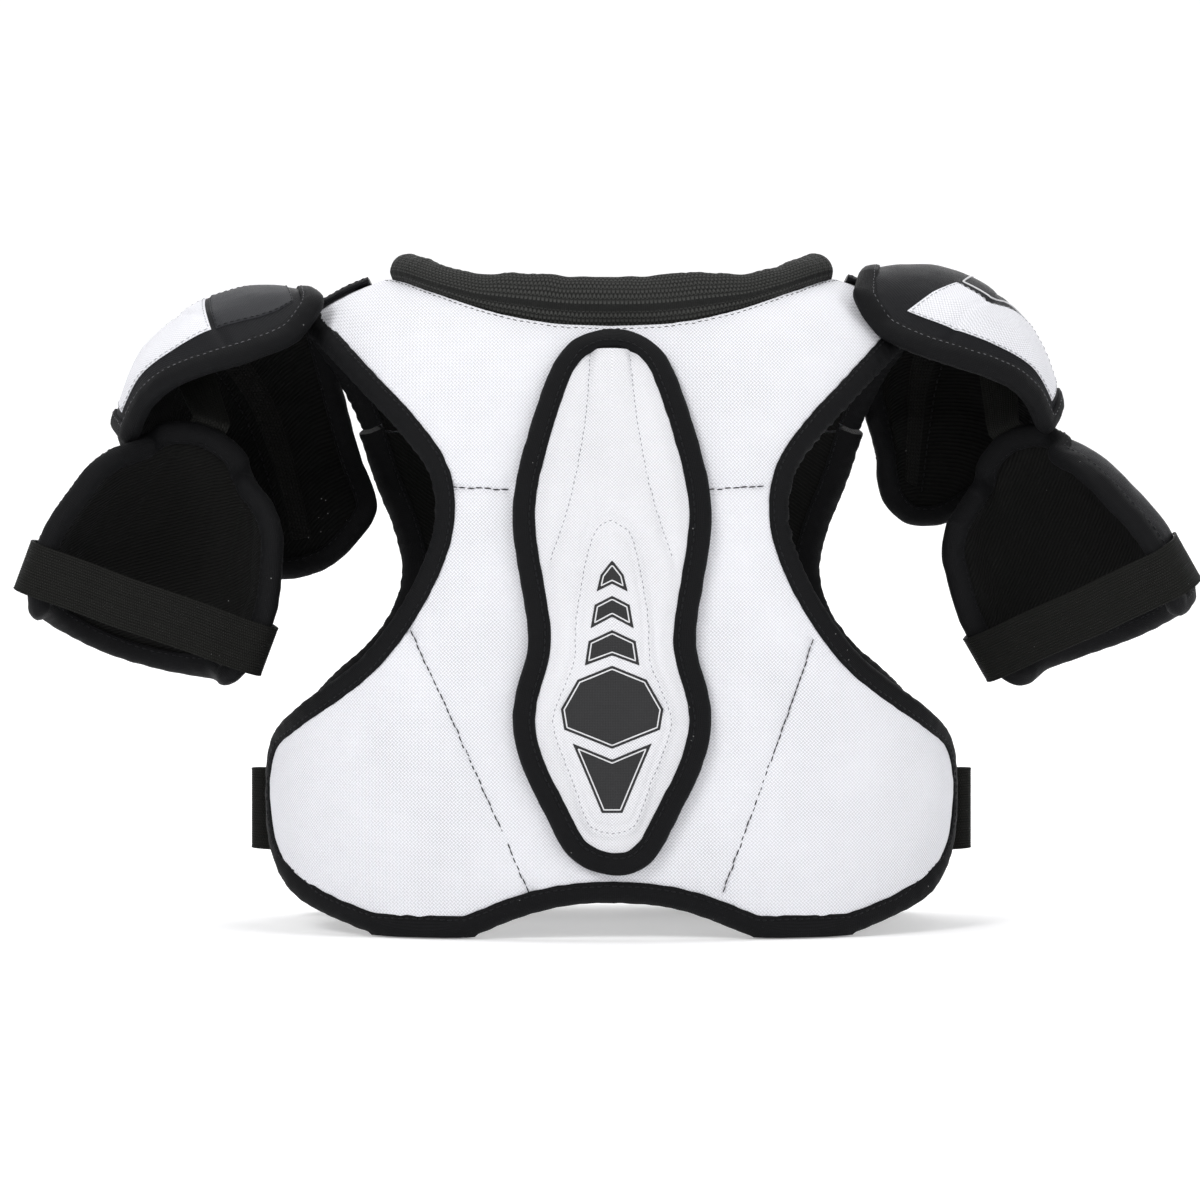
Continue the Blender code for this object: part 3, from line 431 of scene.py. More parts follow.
def rim_frames(grid, edges, offset, samples):
    """Evenly spaced path outside a grid's edge, with its outward and normal directions.
    edges lists the sides in walking order; all four make a closed ring."""
    rows, cols = grid.shape[:2]
    sides = {  # row, column, step outwards
        "left": [(i, 0, 0, -1) for i in range(rows - 1, -1, -1)],
        "bottom": [(0, j, -1, 0) for j in range(cols)],
        "right": [(i, cols - 1, 0, 1) for i in range(rows)],
        "top": [(rows - 1, j, 1, 0) for j in range(cols - 1, -1, -1)],
    }
    walk = []
    for edge in edges:
        walk += [stop for stop in sides[edge] if not walk or stop[:2] != walk[-1][:2]]
    closed = len(edges) == 4
    if closed:
        walk.pop()
    sheet_up = normals(grid)
    points = np.array([grid[i, j] for i, j, _, _ in walk])
    ups = np.array([sheet_up[i, j] for i, j, _, _ in walk])
    last = len(points) - 1
    path = []
    for k, (i, j, di, dj) in enumerate(walk):
        here = points[k]
        if closed:
            before, after = points[k - 1], points[(k + 1) % len(points)]
        else:
            before, after = points[max(k - 1, 0)], points[min(k + 1, last)]
        along_edge = after - before
        out = np.cross(along_edge / np.linalg.norm(along_edge), ups[k])
        out /= np.linalg.norm(out)
        if out @ (here - grid[i - di, j - dj]) < 0:
            out = -out
        stretch = 1.0  # keeps the offset even round corners
        if 0 < k < last or closed:
            a, b = here - before, after - here
            cosine = (a @ b) / (np.linalg.norm(a) * np.linalg.norm(b))
            stretch = 1 / max(math.sqrt(max((1 + cosine) / 2, 0)), 0.75)
        path.append(here + out * offset * stretch)
    path = np.array(path)
    # directions are resampled with the path, drawn 3 mm long
    frames = fair(np.hstack([path, unit(path - points) * 3, ups * 3]), samples, closed=closed)
    path, up = frames[:, :3], unit(frames[:, 6:9])
    return path, sideways(path, up, frames[:, 3:6], closed), up


def relaxed(path, out, up, reach, closed=False):
    """An edge path with its corners rounded over this many mm, which may differ along it."""
    pitch = run_of(path)[-1] / (len(path) - 1)
    reach = np.broadcast_to(np.asarray(reach, float), len(path))[:, None]
    sizes = (0.0, 3.0, 6.0, 12.0)
    rounded = [path]
    for size in sizes[1:]:
        half = int(3 * size / pitch) + 1
        weight = np.exp(-0.5 * (np.arange(-half, half + 1) * pitch / size) ** 2)
        weight /= weight.sum()
        if closed:
            head, tail = path[-half:], path[:half]
        else:
            head = 2 * path[0] - path[1:half + 1][::-1]
            tail = 2 * path[-1] - path[-half - 1:-1][::-1]
        wide = np.vstack([head, path, tail])
        smooth = [np.convolve(column, weight, "valid") for column in wide.T]
        rounded.append(np.stack(smooth, axis=1))
    result = path
    for k, (low, high) in enumerate(zip(sizes, sizes[1:])):
        share = np.clip((reach - low) / (high - low), 0, 1)
        mixed = rounded[k] * (1 - share) + rounded[k + 1] * share
        result = np.where(reach > low, mixed, result)
    return result, sideways(result, up, out, closed), up


def edge_offset(grid, side, offset, lift=0.0):
    """One edge of a grid, moved outwards along its surface and off it."""
    pick = {
        "top": (np.s_[-1], np.s_[-2]),
        "left": (np.s_[:, 0], np.s_[:, 1]),
        "right": (np.s_[:, -1], np.s_[:, -2]),
    }
    edge, inner = (grid[part] for part in pick[side])
    up = normals(grid)[pick[side][0]]
    return edge + sideways(edge, up, edge - inner) * offset + up * lift


# ------------------------------------------------------------ surfaces the pieces lie on
def measured(plan):
    curve = fair(plan, 400)
    return curve, run_of(curve)


def along(plan, distance):
    """x and y of a plan curve at this distance from the middle, either side."""
    curve, run = measured(plan)
    far = np.abs(distance)
    x = np.sign(distance) * np.interp(far, run, curve[:, 0])
    return x, np.interp(far, run, curve[:, 1])


def round_of(plan, x):
    """Distance round the plan curve for an x."""
    curve, run = measured(plan)
    return np.interp(x, np.maximum.accumulate(curve[:, 0] + 1e-6 * run), run)


def unrolled(points):
    """Points given as x, z, laid flat round the back."""
    p = np.array(points, float)
    return np.stack([np.sign(p[:, 0]) * round_of(BACK_PLAN, np.abs(p[:, 0])), p[:, 1]], axis=1)


def torso_surface(plan, flex_z, ridge_y):
    """Maps flat points to a surface upright on its plan curve, leaning in to the ridge."""

    def surface(flat):
        x, y = along(plan, flat[..., 0])
        z = flat[..., 1]
        top = np.interp(np.abs(x), *zip(*RIDGE))
        share = np.clip((z - flex_z) / (top - flex_z), 0, 1)
        y = ridge_y + (y - ridge_y) * np.sqrt(np.clip(1 - share**LEAN, 0, 1))
        return np.stack([x, y + SHIFT_Y, z], axis=-1)

    return surface


on_back = torso_surface(BACK_PLAN, BACK_FLEX_Z, RIDGE_Y)
on_chest = torso_surface(CHEST_PLAN, FRONT_FLEX_Z, FRONT_RIDGE_Y)


def lifted(surface, flat, height, face=1):
    """Points this far off a torso surface, and the directions away from it."""
    base = surface(flat)
    across = surface(flat + (0.4, 0)) - surface(flat - (0.4, 0))
    rise = surface(flat + (0, 0.4)) - surface(flat - (0, 0.4))
    up = unit(np.cross(across, rise)) * face
    return base + up * np.broadcast_to(height, base.shape[:-1])[..., None], up


def cap_grid(sign, rows, cols):
    cage = np.array(CAP, float)
    if sign < 0:
        spread = np.array(CAP_SPREAD_LEFT, float)
        cage[..., 0] -= spread[:, :1] * np.linspace(1, 0, cage.shape[1])
        cage[..., 2] += spread[:, 1:]
    grid = spline_grid(cage, rows, cols)
    if sign > 0:
        grid = grid + CAP_MOVE_RIGHT
    else:
        turn = math.radians(CAP_TURN_LEFT)
        cos, sin = math.cos(turn), math.sin(turn)
        x, y, z = np.moveaxis(grid - CAP_CENTRE, -1, 0)
        grid = np.stack([x, y * cos + z * sin, -y * sin + z * cos], axis=-1)
        grid = ((grid + CAP_CENTRE + CAP_MOVE_LEFT) * (-1, 1, 1))[:, ::-1]
    return grid + (0.0, SHIFT_Y, 0.0)


def guard_frame(guard, sign):
    """Maps w, a, d of a guard to the assembly. Both guards' w points away from the body."""
    out, lean, turn = (math.radians(guard[key]) for key in ("out", "lean", "turn"))
    down = np.array([math.sin(out), math.sin(lean), -math.cos(out)])
    down /= np.linalg.norm(down)
    depth = np.array([0.0, 1.0, 0.0])
    depth -= down * (depth @ down)
    depth /= np.linalg.norm(depth)
    width = np.cross(depth, down)
    if width[0] < 0:
        width = -width
    cos, sin = math.cos(turn), math.sin(turn)
    width, depth = width * cos + depth * sin, depth * cos - width * sin
    outer = np.multiply.outer

    def mapped(w, a, d):
        p = np.array(guard["at"]) + outer(w, width) + outer(a, down) + outer(d, depth)
        return p * (sign, 1, 1) + (0.0, SHIFT_Y, 0.0)

    return mapped


def guard_grid(to, rows, cols):
    """A guard's sheet, its columns running so that `up` points out of it."""
    cage = []
    for half, depth, a_mid, a_rim, d_rim in GUARD_ROWS:
        row = []
        for k in range(9):
            angle = (k / 8 - 0.5) * math.pi
            edge = abs(math.sin(angle)) ** 2
            a = a_mid + (a_rim - a_mid) * edge
            row.append((half * math.sin(angle), a, d_rim * edge + depth * math.cos(angle)))
        cage.append(row)
    own = spline_grid(cage, rows, cols)
    grid = to(own[..., 0], own[..., 1], own[..., 2])
    outwards = to(0.0, 60.0, 60.0) - to(0.0, 60.0, 0.0)
    if normals(grid)[rows // 2, cols // 2] @ outwards < 0:
        grid = grid[:, ::-1]
    return grid


class Shading:
    """A material and short ways of adding nodes to it."""

    def __init__(self, name, rough, spec, sheen=0.0):
        self.mat = bpy.data.materials.new(name)
        self.mat.use_nodes = True
        self.tree = self.mat.node_tree
        self.shader = self.tree.nodes["Principled BSDF"]
        self.set("Roughness", rough)
        self.set("Specular IOR Level", spec)
        self.set("Sheen Weight", sheen)
        self.set("Sheen Roughness", 0.5)

    def new(self, kind, **values):
        node = self.tree.nodes.new(kind)
        for key, value in values.items():
            setattr(node, key, value)
        return node

    def put(self, socket, value):
        if isinstance(value, bpy.types.NodeSocket):
            self.tree.links.new(value, socket)
        else:
            socket.default_value = value

    def set(self, name, value):
        self.put(self.shader.inputs[name], value)

    def math(self, operation, a, b=0.0, clamp=False):
        node = self.new("ShaderNodeMath", operation=operation, use_clamp=clamp)
        self.put(node.inputs[0], a)
        self.put(node.inputs[1], b)
        return node.outputs[0]

    def plus(self, a, b, clamp=False):
        return self.math("ADD", a, b, clamp)

    def times(self, a, b, clamp=False):
        return self.math("MULTIPLY", a, b, clamp)

    def mix(self, factor, a, b):
        node = self.new("ShaderNodeMix", data_type="RGBA")
        self.put(node.inputs[0], factor)
        self.put(node.inputs[6], a)
        self.put(node.inputs[7], b)
        return node.outputs[2]

    def uv(self):
        split = self.new("ShaderNodeSeparateXYZ")
        self.put(split.inputs[0], self.new("ShaderNodeTexCoord").outputs["UV"])
        return split.outputs[0], split.outputs[1]

    def texture(self, kind, scale):
        """A texture over the object's own coordinates, in metres."""
        node = self.new(kind)
        self.put(node.inputs["Vector"], self.new("ShaderNodeTexCoord").outputs["Object"])
        node.inputs["Scale"].default_value = scale
        return node

    def noise(self, scale, detail=3.0, rough=0.55):
        node = self.texture("ShaderNodeTexNoise", scale)
        node.inputs["Detail"].default_value = detail
        node.inputs["Roughness"].default_value = rough
        return node.outputs["Fac"]

    def wave(self, u, pitch):
        """|sin| ridges across u, pitch mm apart, 0 to 1."""
        return self.math("ABSOLUTE", self.math("SINE", self.times(u, math.pi / pitch)))

    def bump(self, height, depth, strength, under=None):
        """Relief this many mm deep, over another relief if given."""
        node = self.new("ShaderNodeBump")
        node.inputs["Distance"].default_value = depth * MM
        node.inputs["Strength"].default_value = strength
        self.put(node.inputs["Height"], height)
        if under is not None:
            self.put(node.inputs["Normal"], under)
        return node.outputs[0]


def shade(tone, by):
    """A tone made darker or lighter, with its alpha."""
    return tuple(min(c * by, 1.0) for c in tone) + (1,)


# cloth heights, 0 to 1; pitches are in mm
def woven_height(m, pitch=0.8, diagonal=False):
    """Plain weave: threads over and under each other."""
    u, v = m.uv()
    if diagonal:
        total = m.plus(u, v)
        difference = m.math("SUBTRACT", u, v)
        u, v = m.times(total, 0.7071), m.times(difference, 0.7071)
    sin_u = m.math("SINE", m.times(u, math.pi / pitch))
    sin_v = m.math("SINE", m.times(v, math.pi / pitch))
    over = m.math("GREATER_THAN", m.times(sin_u, sin_v), 0.0)
    ridge_u, ridge_v = m.math("ABSOLUTE", sin_u), m.math("ABSOLUTE", sin_v)
    low = m.times(m.math("SUBTRACT", 1.0, over), ridge_u)
    return m.plus(low, m.times(over, ridge_v))


def knit_height(m):
    """Fine ribs of loops, a little fuzzy."""
    u, v = m.uv()
    ribs = m.wave(v, pitch=0.9)
    loops = m.wave(m.plus(u, m.times(ribs, 0.35)), pitch=1.1)
    ribs = m.times(ribs, 0.55)
    return m.plus(ribs, m.plus(m.times(loops, 0.25), m.times(m.noise(1500.0, 2.0), 0.3)), True)


def twill_height(m):
    """Slanting ribs, wandering slowly."""
    u, v = m.uv()
    slant = m.plus(m.times(u, 0.55), m.times(v, 0.83))
    slant = m.plus(slant, m.times(m.noise(60.0, 2.0), 1.2))
    ribs = m.wave(slant, pitch=1.9)
    ribs = m.times(m.math("POWER", ribs, 1.5), 0.75)
    return m.plus(ribs, m.times(m.noise(1200.0, 3.0), 0.35), True)


def elastic_height(m):
    """Cords along, crossed by picks that step sideways from cord to cord."""
    u, v = m.uv()
    pitch = 1.5
    cords = m.wave(v, pitch)
    odd = m.math("GREATER_THAN", m.math("SINE", m.times(v, math.pi / pitch)), 0.0)
    picks = m.wave(m.plus(u, m.times(odd, 0.6)), pitch=1.2)
    return m.plus(m.times(cords, 0.5), m.times(picks, 0.5), True)


def hex_height(m):
    """Rows of small openings, every other row set over by half, joined by a zigzag."""
    u, v = m.uv()
    pitch = 2.1
    row_pitch = pitch * 0.86
    row = m.math("FLOOR", m.math("DIVIDE", v, row_pitch))
    shift = m.times(m.math("MODULO", row, 2.0), pitch / 2)
    zigzag = m.plus(v, m.times(m.wave(u, pitch), 0.55))
    a = m.wave(m.plus(u, shift), pitch)
    b = m.wave(zigzag, row_pitch)
    return m.times(m.math("POWER", a, 0.6), m.math("POWER", b, 0.6), True)


def fuzz_height(m):
    return m.noise(900.0, detail=4.0, rough=0.75)


def pale_cloth(name, pitch, depth, tone, rough=0.78):
    """Diagonal plain weave with painted shade between its threads and painted light on their
    tops, and faintly blotched.
    """
    m = Shading(name, rough, spec=0.08, sheen=0.03)
    height = woven_height(m, pitch, diagonal=True)
    blot = m.noise(18.0)
    fibre = m.noise(2600.0, detail=2.0)
    # painted shade: the colour darkens where the weave is low between threads and lightens on the
    # thread tops
    base = m.mix(m.times(height, 0.85), shade(tone, 0.48), shade(tone, 1.08))
    blot = m.math("SUBTRACT", 1.0, m.times(blot, 1.3), True)
    m.set("Base Color", m.mix(m.times(blot, 0.9), base, shade(tone, 0.955)))
    under = m.bump(m.plus(m.noise(130.0, detail=2.0), 0.0), depth=0.25, strength=0.5)
    height_and_fibre = m.plus(height, m.times(fibre, 0.25))
    m.set("Normal", m.bump(height_and_fibre, depth, strength=0.9, under=under))
    m.set("Roughness", m.math("SUBTRACT", rough + 0.08, m.times(height, 0.12)))
    return m.mat


def dark_cloth(name, tone, rough, relief, depth, sheen, lint=0.0, spec=0.13, painted_relief_shade=0.6):
    """Cloth coloured from its height, with painted shade in its hollows and painted light on its
    raised parts; the last keyword sets how far, lint how strong its flecks are.
    """
    m = Shading(name, rough, spec, sheen)
    m.set("Sheen Tint", (0.55, 0.57, 0.62, 1))
    height = relief(m)
    blot = m.noise(30.0, detail=4.0)
    # painted shade and light: the tone darkens where the relief is low and lightens where it is
    # high
    base = m.mix(height, shade(tone, 1 - painted_relief_shade), shade(tone, 1 + painted_relief_shade))
    base = m.mix(m.times(blot, 0.35), base, shade(tone, 1.5))
    if lint:
        spots = m.texture("ShaderNodeTexVoronoi", 210.0)
        fleck = m.math("LESS_THAN", spots.outputs["Distance"], 0.07)
        rare = m.math("GREATER_THAN", m.noise(90.0, detail=2.0), 0.62)
        base = m.mix(m.times(m.times(fleck, rare), lint), base, (0.35, 0.35, 0.35, 1.0))
    m.set("Base Color", base)
    under = m.bump(m.noise(160.0), depth=0.3, strength=0.5)
    m.set("Normal", m.bump(height, depth, strength=0.9, under=under))
    return m.mat


# pitch and depth of the weave in mm
PALE = {
    "white_weave": dict(pitch=1.3, depth=0.26, tone=(0.84, 0.842, 0.885)),
    "white_pad": dict(pitch=1.1, depth=0.20, tone=(0.80, 0.80, 0.832), rough=0.66),
    "trim_white": dict(pitch=0.5, depth=0.05, tone=(0.76, 0.76, 0.78), rough=0.6),
    "thread_white": dict(pitch=0.4, depth=0.06, tone=(0.60, 0.61, 0.64), rough=0.7),
    "thread_seam": dict(pitch=0.4, depth=0.06, tone=(0.40, 0.41, 0.44), rough=0.7),
}
# each dark cloth gets painted shade in the hollows of its relief and painted light on its raised
# parts
DARK = {
    "thread_grey": dict(
        tone=(0.15, 0.15, 0.16), rough=0.7, relief=woven_height, depth=0.04, sheen=0.04,
        spec=0.2, painted_relief_shade=0.3),
    "black_binding": dict(
        tone=(0.0054, 0.0055, 0.0060), rough=0.6, relief=knit_height, depth=0.26, sheen=0.010,
        lint=0.5, spec=0.06),
    "black_cover": dict(
        tone=(0.0078, 0.0080, 0.0092), rough=0.5, relief=woven_height, depth=0.14, sheen=0.012,
        lint=0.3, spec=0.07),
    "thread_black": dict(
        tone=(0.010, 0.010, 0.012), rough=0.5, relief=woven_height, depth=0.04, sheen=0.03,
        spec=0.15),
    "black_lining": dict(
        tone=(0.0052, 0.0052, 0.0049), rough=0.8, relief=twill_height, depth=0.5, sheen=0.02,
        lint=0.6, spec=0.07),
    "black_mesh": dict(
        tone=(0.026, 0.0264, 0.025), rough=0.7, relief=hex_height, depth=0.75, sheen=0.02,
        spec=0.09, painted_relief_shade=0.95),
    "mesh_strip": dict(
        tone=(0.0080, 0.0080, 0.0075), rough=0.75, relief=hex_height, depth=0.5, sheen=0.03,
        lint=0.5, spec=0.08, painted_relief_shade=0.85),
    "elastic": dict(
        tone=(0.0072, 0.0073, 0.0066), rough=0.6, relief=elastic_height, depth=0.5,
        sheen=0.012, lint=0.2, spec=0.06, painted_relief_shade=0.95),
    "hook_loop": dict(
        tone=(0.007, 0.007, 0.007), rough=0.95, relief=fuzz_height, depth=0.5, sheen=0.1),
    "applique": dict(
        tone=(0.022, 0.022, 0.023), rough=0.55, relief=woven_height, depth=0.10, sheen=0.03,
        spec=0.15),
    "charcoal": dict(
        tone=(0.0150, 0.0155, 0.0180), rough=0.6, relief=woven_height, depth=0.10, sheen=0.05,
        spec=0.2),
    "foam": dict(
        tone=(0.30, 0.30, 0.32), rough=0.92, relief=fuzz_height, depth=0.12, sheen=0.05,
        painted_relief_shade=0.12, spec=0.3),
    "plastic_plate": dict(
        tone=(0.08, 0.08, 0.09), rough=0.42, relief=fuzz_height, depth=0.03, sheen=0.0,
        painted_relief_shade=0.1, spec=0.5),
}


def material(slot):
    name = "look_" + slot
    found = bpy.data.materials.get(name)
    if found:
        return found
    if slot in PALE:
        return pale_cloth(name, **PALE[slot])
    return dark_cloth(name, **DARK[slot])


# ------------------------------------------------------------ meshes
def build(name, verts, faces, slot, body, replaces=(), uv=None, sharp=45):
    """A piece from points in mm and faces. body is the frame body it rides on, or a tuple of two
    bodies and two points, which is not used: the piece then stays fixed where it is."""
    mesh = bpy.data.meshes.new(name)
    points = (np.asarray(verts, float) * MM).tolist()
    mesh.from_pydata(points, [], [tuple(int(i) for i in face) for face in faces])
    mesh.validate()
    if uv is not None:
        layer = mesh.uv_layers.new(name="weave")
        index = np.zeros(len(mesh.loops), np.int32)
        mesh.loops.foreach_get("vertex_index", index)
        layer.data.foreach_set("uv", np.asarray(uv, np.float32)[index].ravel())
    mesh.shade_smooth()
    if sharp:
        mesh.set_sharp_from_angle(angle=math.radians(sharp))
    obj = bpy.data.objects.new(name, mesh)
    bpy.context.scene.collection.objects.link(obj)
    mesh.materials.append(material(slot))
    if isinstance(body, tuple):
        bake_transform(obj)
    else:
        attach(obj, body)
    if replaces:
        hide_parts(*replaces)
    return obj


def lattice(rows, cols, start=0, wrap=False):
    """Quads of a grid of points. wrap joins the last column to the first."""
    last = cols if wrap else cols - 1
    i, j = np.meshgrid(np.arange(rows - 1), np.arange(last), indexing="ij")
    k = (j + 1) % cols
    quads = [i * cols + j, i * cols + k, (i + 1) * cols + k, (i + 1) * cols + j]
    return np.stack(quads, axis=-1).reshape(-1, 4) + start


def shell(outer, inner):
    """A closed skin between two grids."""
    rows, cols = outer.shape[:2]
    count = rows * cols
    walk = [(0, j) for j in range(cols)]
    walk += [(i, cols - 1) for i in range(1, rows)]
    walk += [(rows - 1, j) for j in range(cols - 2, -1, -1)]
    walk += [(i, 0) for i in range(rows - 2, 0, -1)]
    at = np.array([i * cols + j for i, j in walk])
    after = np.roll(at, -1)
    rim = np.stack([at, at + count, after + count, after], axis=1)
    faces = [lattice(rows, cols), lattice(rows, cols, count)[:, ::-1], rim]
    return np.concatenate([outer.reshape(-1, 3), inner.reshape(-1, 3)]), np.concatenate(faces)


def skin(name, grid, up, outer, inner, slot, body, replaces=(), uv=None):
    """A fabric layer from height `inner` to height `outer` off a grid."""
    outer, inner = (np.broadcast_to(h, grid.shape[:2])[..., None] for h in (outer, inner))
    verts, faces = shell(grid + up * outer, grid + up * inner)
    uv = (cloth_uv(grid) if uv is None else uv).reshape(-1, 2)
    build(name, verts, faces, slot, body, replaces, np.concatenate([uv, uv]))


def sweep(name, path, across, up, section, slot, body, replaces=(), closed=False,
          floor=False, fuzz=0.0, seed=1):
    """A section (across, up in mm, going round) carried along a path.
    section is [k, 2], or [len(path), k, 2] where it changes along the way."""
    path = np.asarray(path, float)
    across, up = unit(np.broadcast_to(across, path.shape)), unit(np.asarray(up, float))
    section = np.asarray(section, float)
    section = np.broadcast_to(section, (len(path),) + section.shape[-2:])
    rows, count = section.shape[:2]
    run = run_of(path)[:, None]
    if fuzz:
        around = np.arange(count)[None] * 0.9 * 2.5
        if closed:
            length = float(run[-1, 0])
            turn = 2 * math.pi * run / (length + np.linalg.norm(path[0] - path[-1]))
            ring = (np.cos(turn) * length / FULL_TURN, np.sin(turn) * length / FULL_TURN)
            bump = ripple(seed, 9.0, *ring, around)
        else:
            bump = ripple(seed, 9.0, run, around)
        away = unit(section - section.mean(axis=1, keepdims=True))
        section = section + away * (fuzz * bump)[..., None]
    points = path[:, None] + across[:, None] * section[..., 0:1] + up[:, None] * section[..., 1:2]
    if floor:
        z = points[..., 2]
        points[..., 2] = np.where(z < 1.2, np.maximum(0.25 * z, 0), z)
    around = run_of(section.mean(axis=0))
    uv = np.stack(np.broadcast_arrays(run, around[None]), axis=-1).reshape(-1, 2)
    verts = points.reshape(-1, 3)
    faces = list(lattice(rows, count, wrap=True))
    last = (rows - 1) * count
    pairs = [(j, (j + 1) % count) for j in range(count)]
    if closed:
        faces += [(last + j, last + k, k, j) for j, k in pairs]
    else:
        first_cap, last_cap = len(verts), len(verts) + 1
        verts = np.concatenate([verts, [points[0].mean(axis=0), points[-1].mean(axis=0)]])
        uv = np.concatenate([uv, uv[:1], uv[-1:]])
        faces += [(first_cap, k, j) for j, k in pairs]
        faces += [(last_cap, last + j, last + k) for j, k in pairs]
    # faces point outwards when the section runs clockwise seen along the path
    mid = len(path) // 2
    forward = np.cross(across[mid], up[mid]) @ np.gradient(path, axis=0)[mid] > 0
    if (signed_area(section[0]) > 0) == forward:
        faces = [face[::-1] for face in faces]
    build(name, verts, faces, slot, body, replaces, uv, sharp=60)


def thread(name, path, up, body, length=2.6, gap=1.1, radius=0.36, seed=1, wander=0.12,
           slot="thread_black", closed=False):
    """A row of stitches: each an arched bit of thread that dips into the cloth at both ends."""
    if closed:
        path, up = np.vstack([path, path[:1]]), np.vstack([up, up[:1]])
    up = unit(up)
    run = run_of(path)
    rng = np.random.default_rng(seed)
    count = max(int(run[-1] // (length + gap)), 1)
    heading = unit(np.gradient(path, axis=0))
    rings, sides = 5, 6
    angles = [2 * math.pi * k / sides for k in range(sides)]
    ring = [(math.cos(angle), math.sin(angle)) for angle in angles]
    verts, faces = [], []
    for start in np.arange(count) * (run[-1] / count):
        start = start + rng.uniform(-0.2, 0.2)
        shift = rng.normal() * wander
        base = len(verts)
        for k in range(rings):
            share = k / (rings - 1)
            at = np.clip(start + length * share, 0, run[-1])
            here_up = unit(sampled(at, run, up))
            across = unit(np.cross(unit(sampled(at, run, heading)), here_up))
            arch = math.sin(math.pi * share) ** 0.5
            fat = radius * (0.45 + 0.55 * arch)
            rise = here_up * (radius * (0.9 * arch - 0.55))
            centre = sampled(at, run, path) + rise + across * shift
            verts += [centre + across * x * fat + here_up * y * fat for x, y in ring]
        faces += list(lattice(rings, sides, base, wrap=True))
        faces.append(range(base + sides - 1, base - 1, -1))
        faces.append(range(base + (rings - 1) * sides, base + rings * sides))
    build(name, np.array(verts), faces, slot, body, sharp=0)


def trim(name, path, up, half_section, body):
    """A thin white line. half_section is half its width and three heights: foot, rim, crown."""
    wide, foot, rim, crown = half_section
    inner = wide * 0.8 if wide > 0.4 else 0.3
    section = [(-wide, foot), (-inner, rim), (0.0, crown), (inner, rim), (wide, foot)]
    sweep(name, path, square_to(path, up), up, section, "trim_white", body)


def panel_patch(name, grid, up, edges, height, slot, body, count):
    """A sewn-on piece of cloth: bottom, right, top and left edges in (row, column) fractions of
    the grid it lies on, count points to a side."""
    thick = 0.55
    bottom, right, top, left = (polyline(edge, count) for edge in edges)
    rc = coons(bottom, top, left, right)
    lift = surface_at(height[..., None], rc)[..., 0]
    inside = np.zeros((count, count))
    inside[1:-1, 1:-1] = 1
    outer = lift + thick * (0.45 + 0.55 * inside)
    skin(name, surface_at(grid, rc), unit(surface_at(up, rc)), outer, lift - 0.5, slot, body)


def webbing(name, path, across, up, width, body, replaces=(), thick=ELASTIC_T, slot="elastic"):
    """Flat ribbed elastic: cords run along it and its two edges are a little thicker."""
    half = width / 2
    x = np.linspace(-half, half, int(width / 0.29))
    edge = step(np.abs(x), half - 1.3, half - 0.7)
    top = thick / 2 + 0.09 * np.cos(2 * math.pi * x / 1.16) * (1 - edge) + 0.16 * edge
    top = top * np.where(np.abs(x) > half - 0.15, 0.45, 1.0)
    low = np.stack([x[::-1], -top[::-1]], axis=1)
    section = np.concatenate([np.stack([x, top], axis=1), low])
    sweep(name, path, across, up, section, slot, body, replaces)


# ------------------------------------------------------------ swelling fabric
CLOTH_SETTINGS = dict(
    quality=4, mass=0.15, pin_stiffness=2.0, tension_stiffness=12.0,
    compression_stiffness=12.0, shear_stiffness=4.0, bending_stiffness=0.35,
    tension_damping=8.0, compression_damping=8.0, shear_damping=8.0, air_damping=2.0,
    vertex_group_mass="sewn", shrink_min=0.0, use_pressure=True, uniform_pressure_force=6.0)
CLOTH_FRAMES = 14


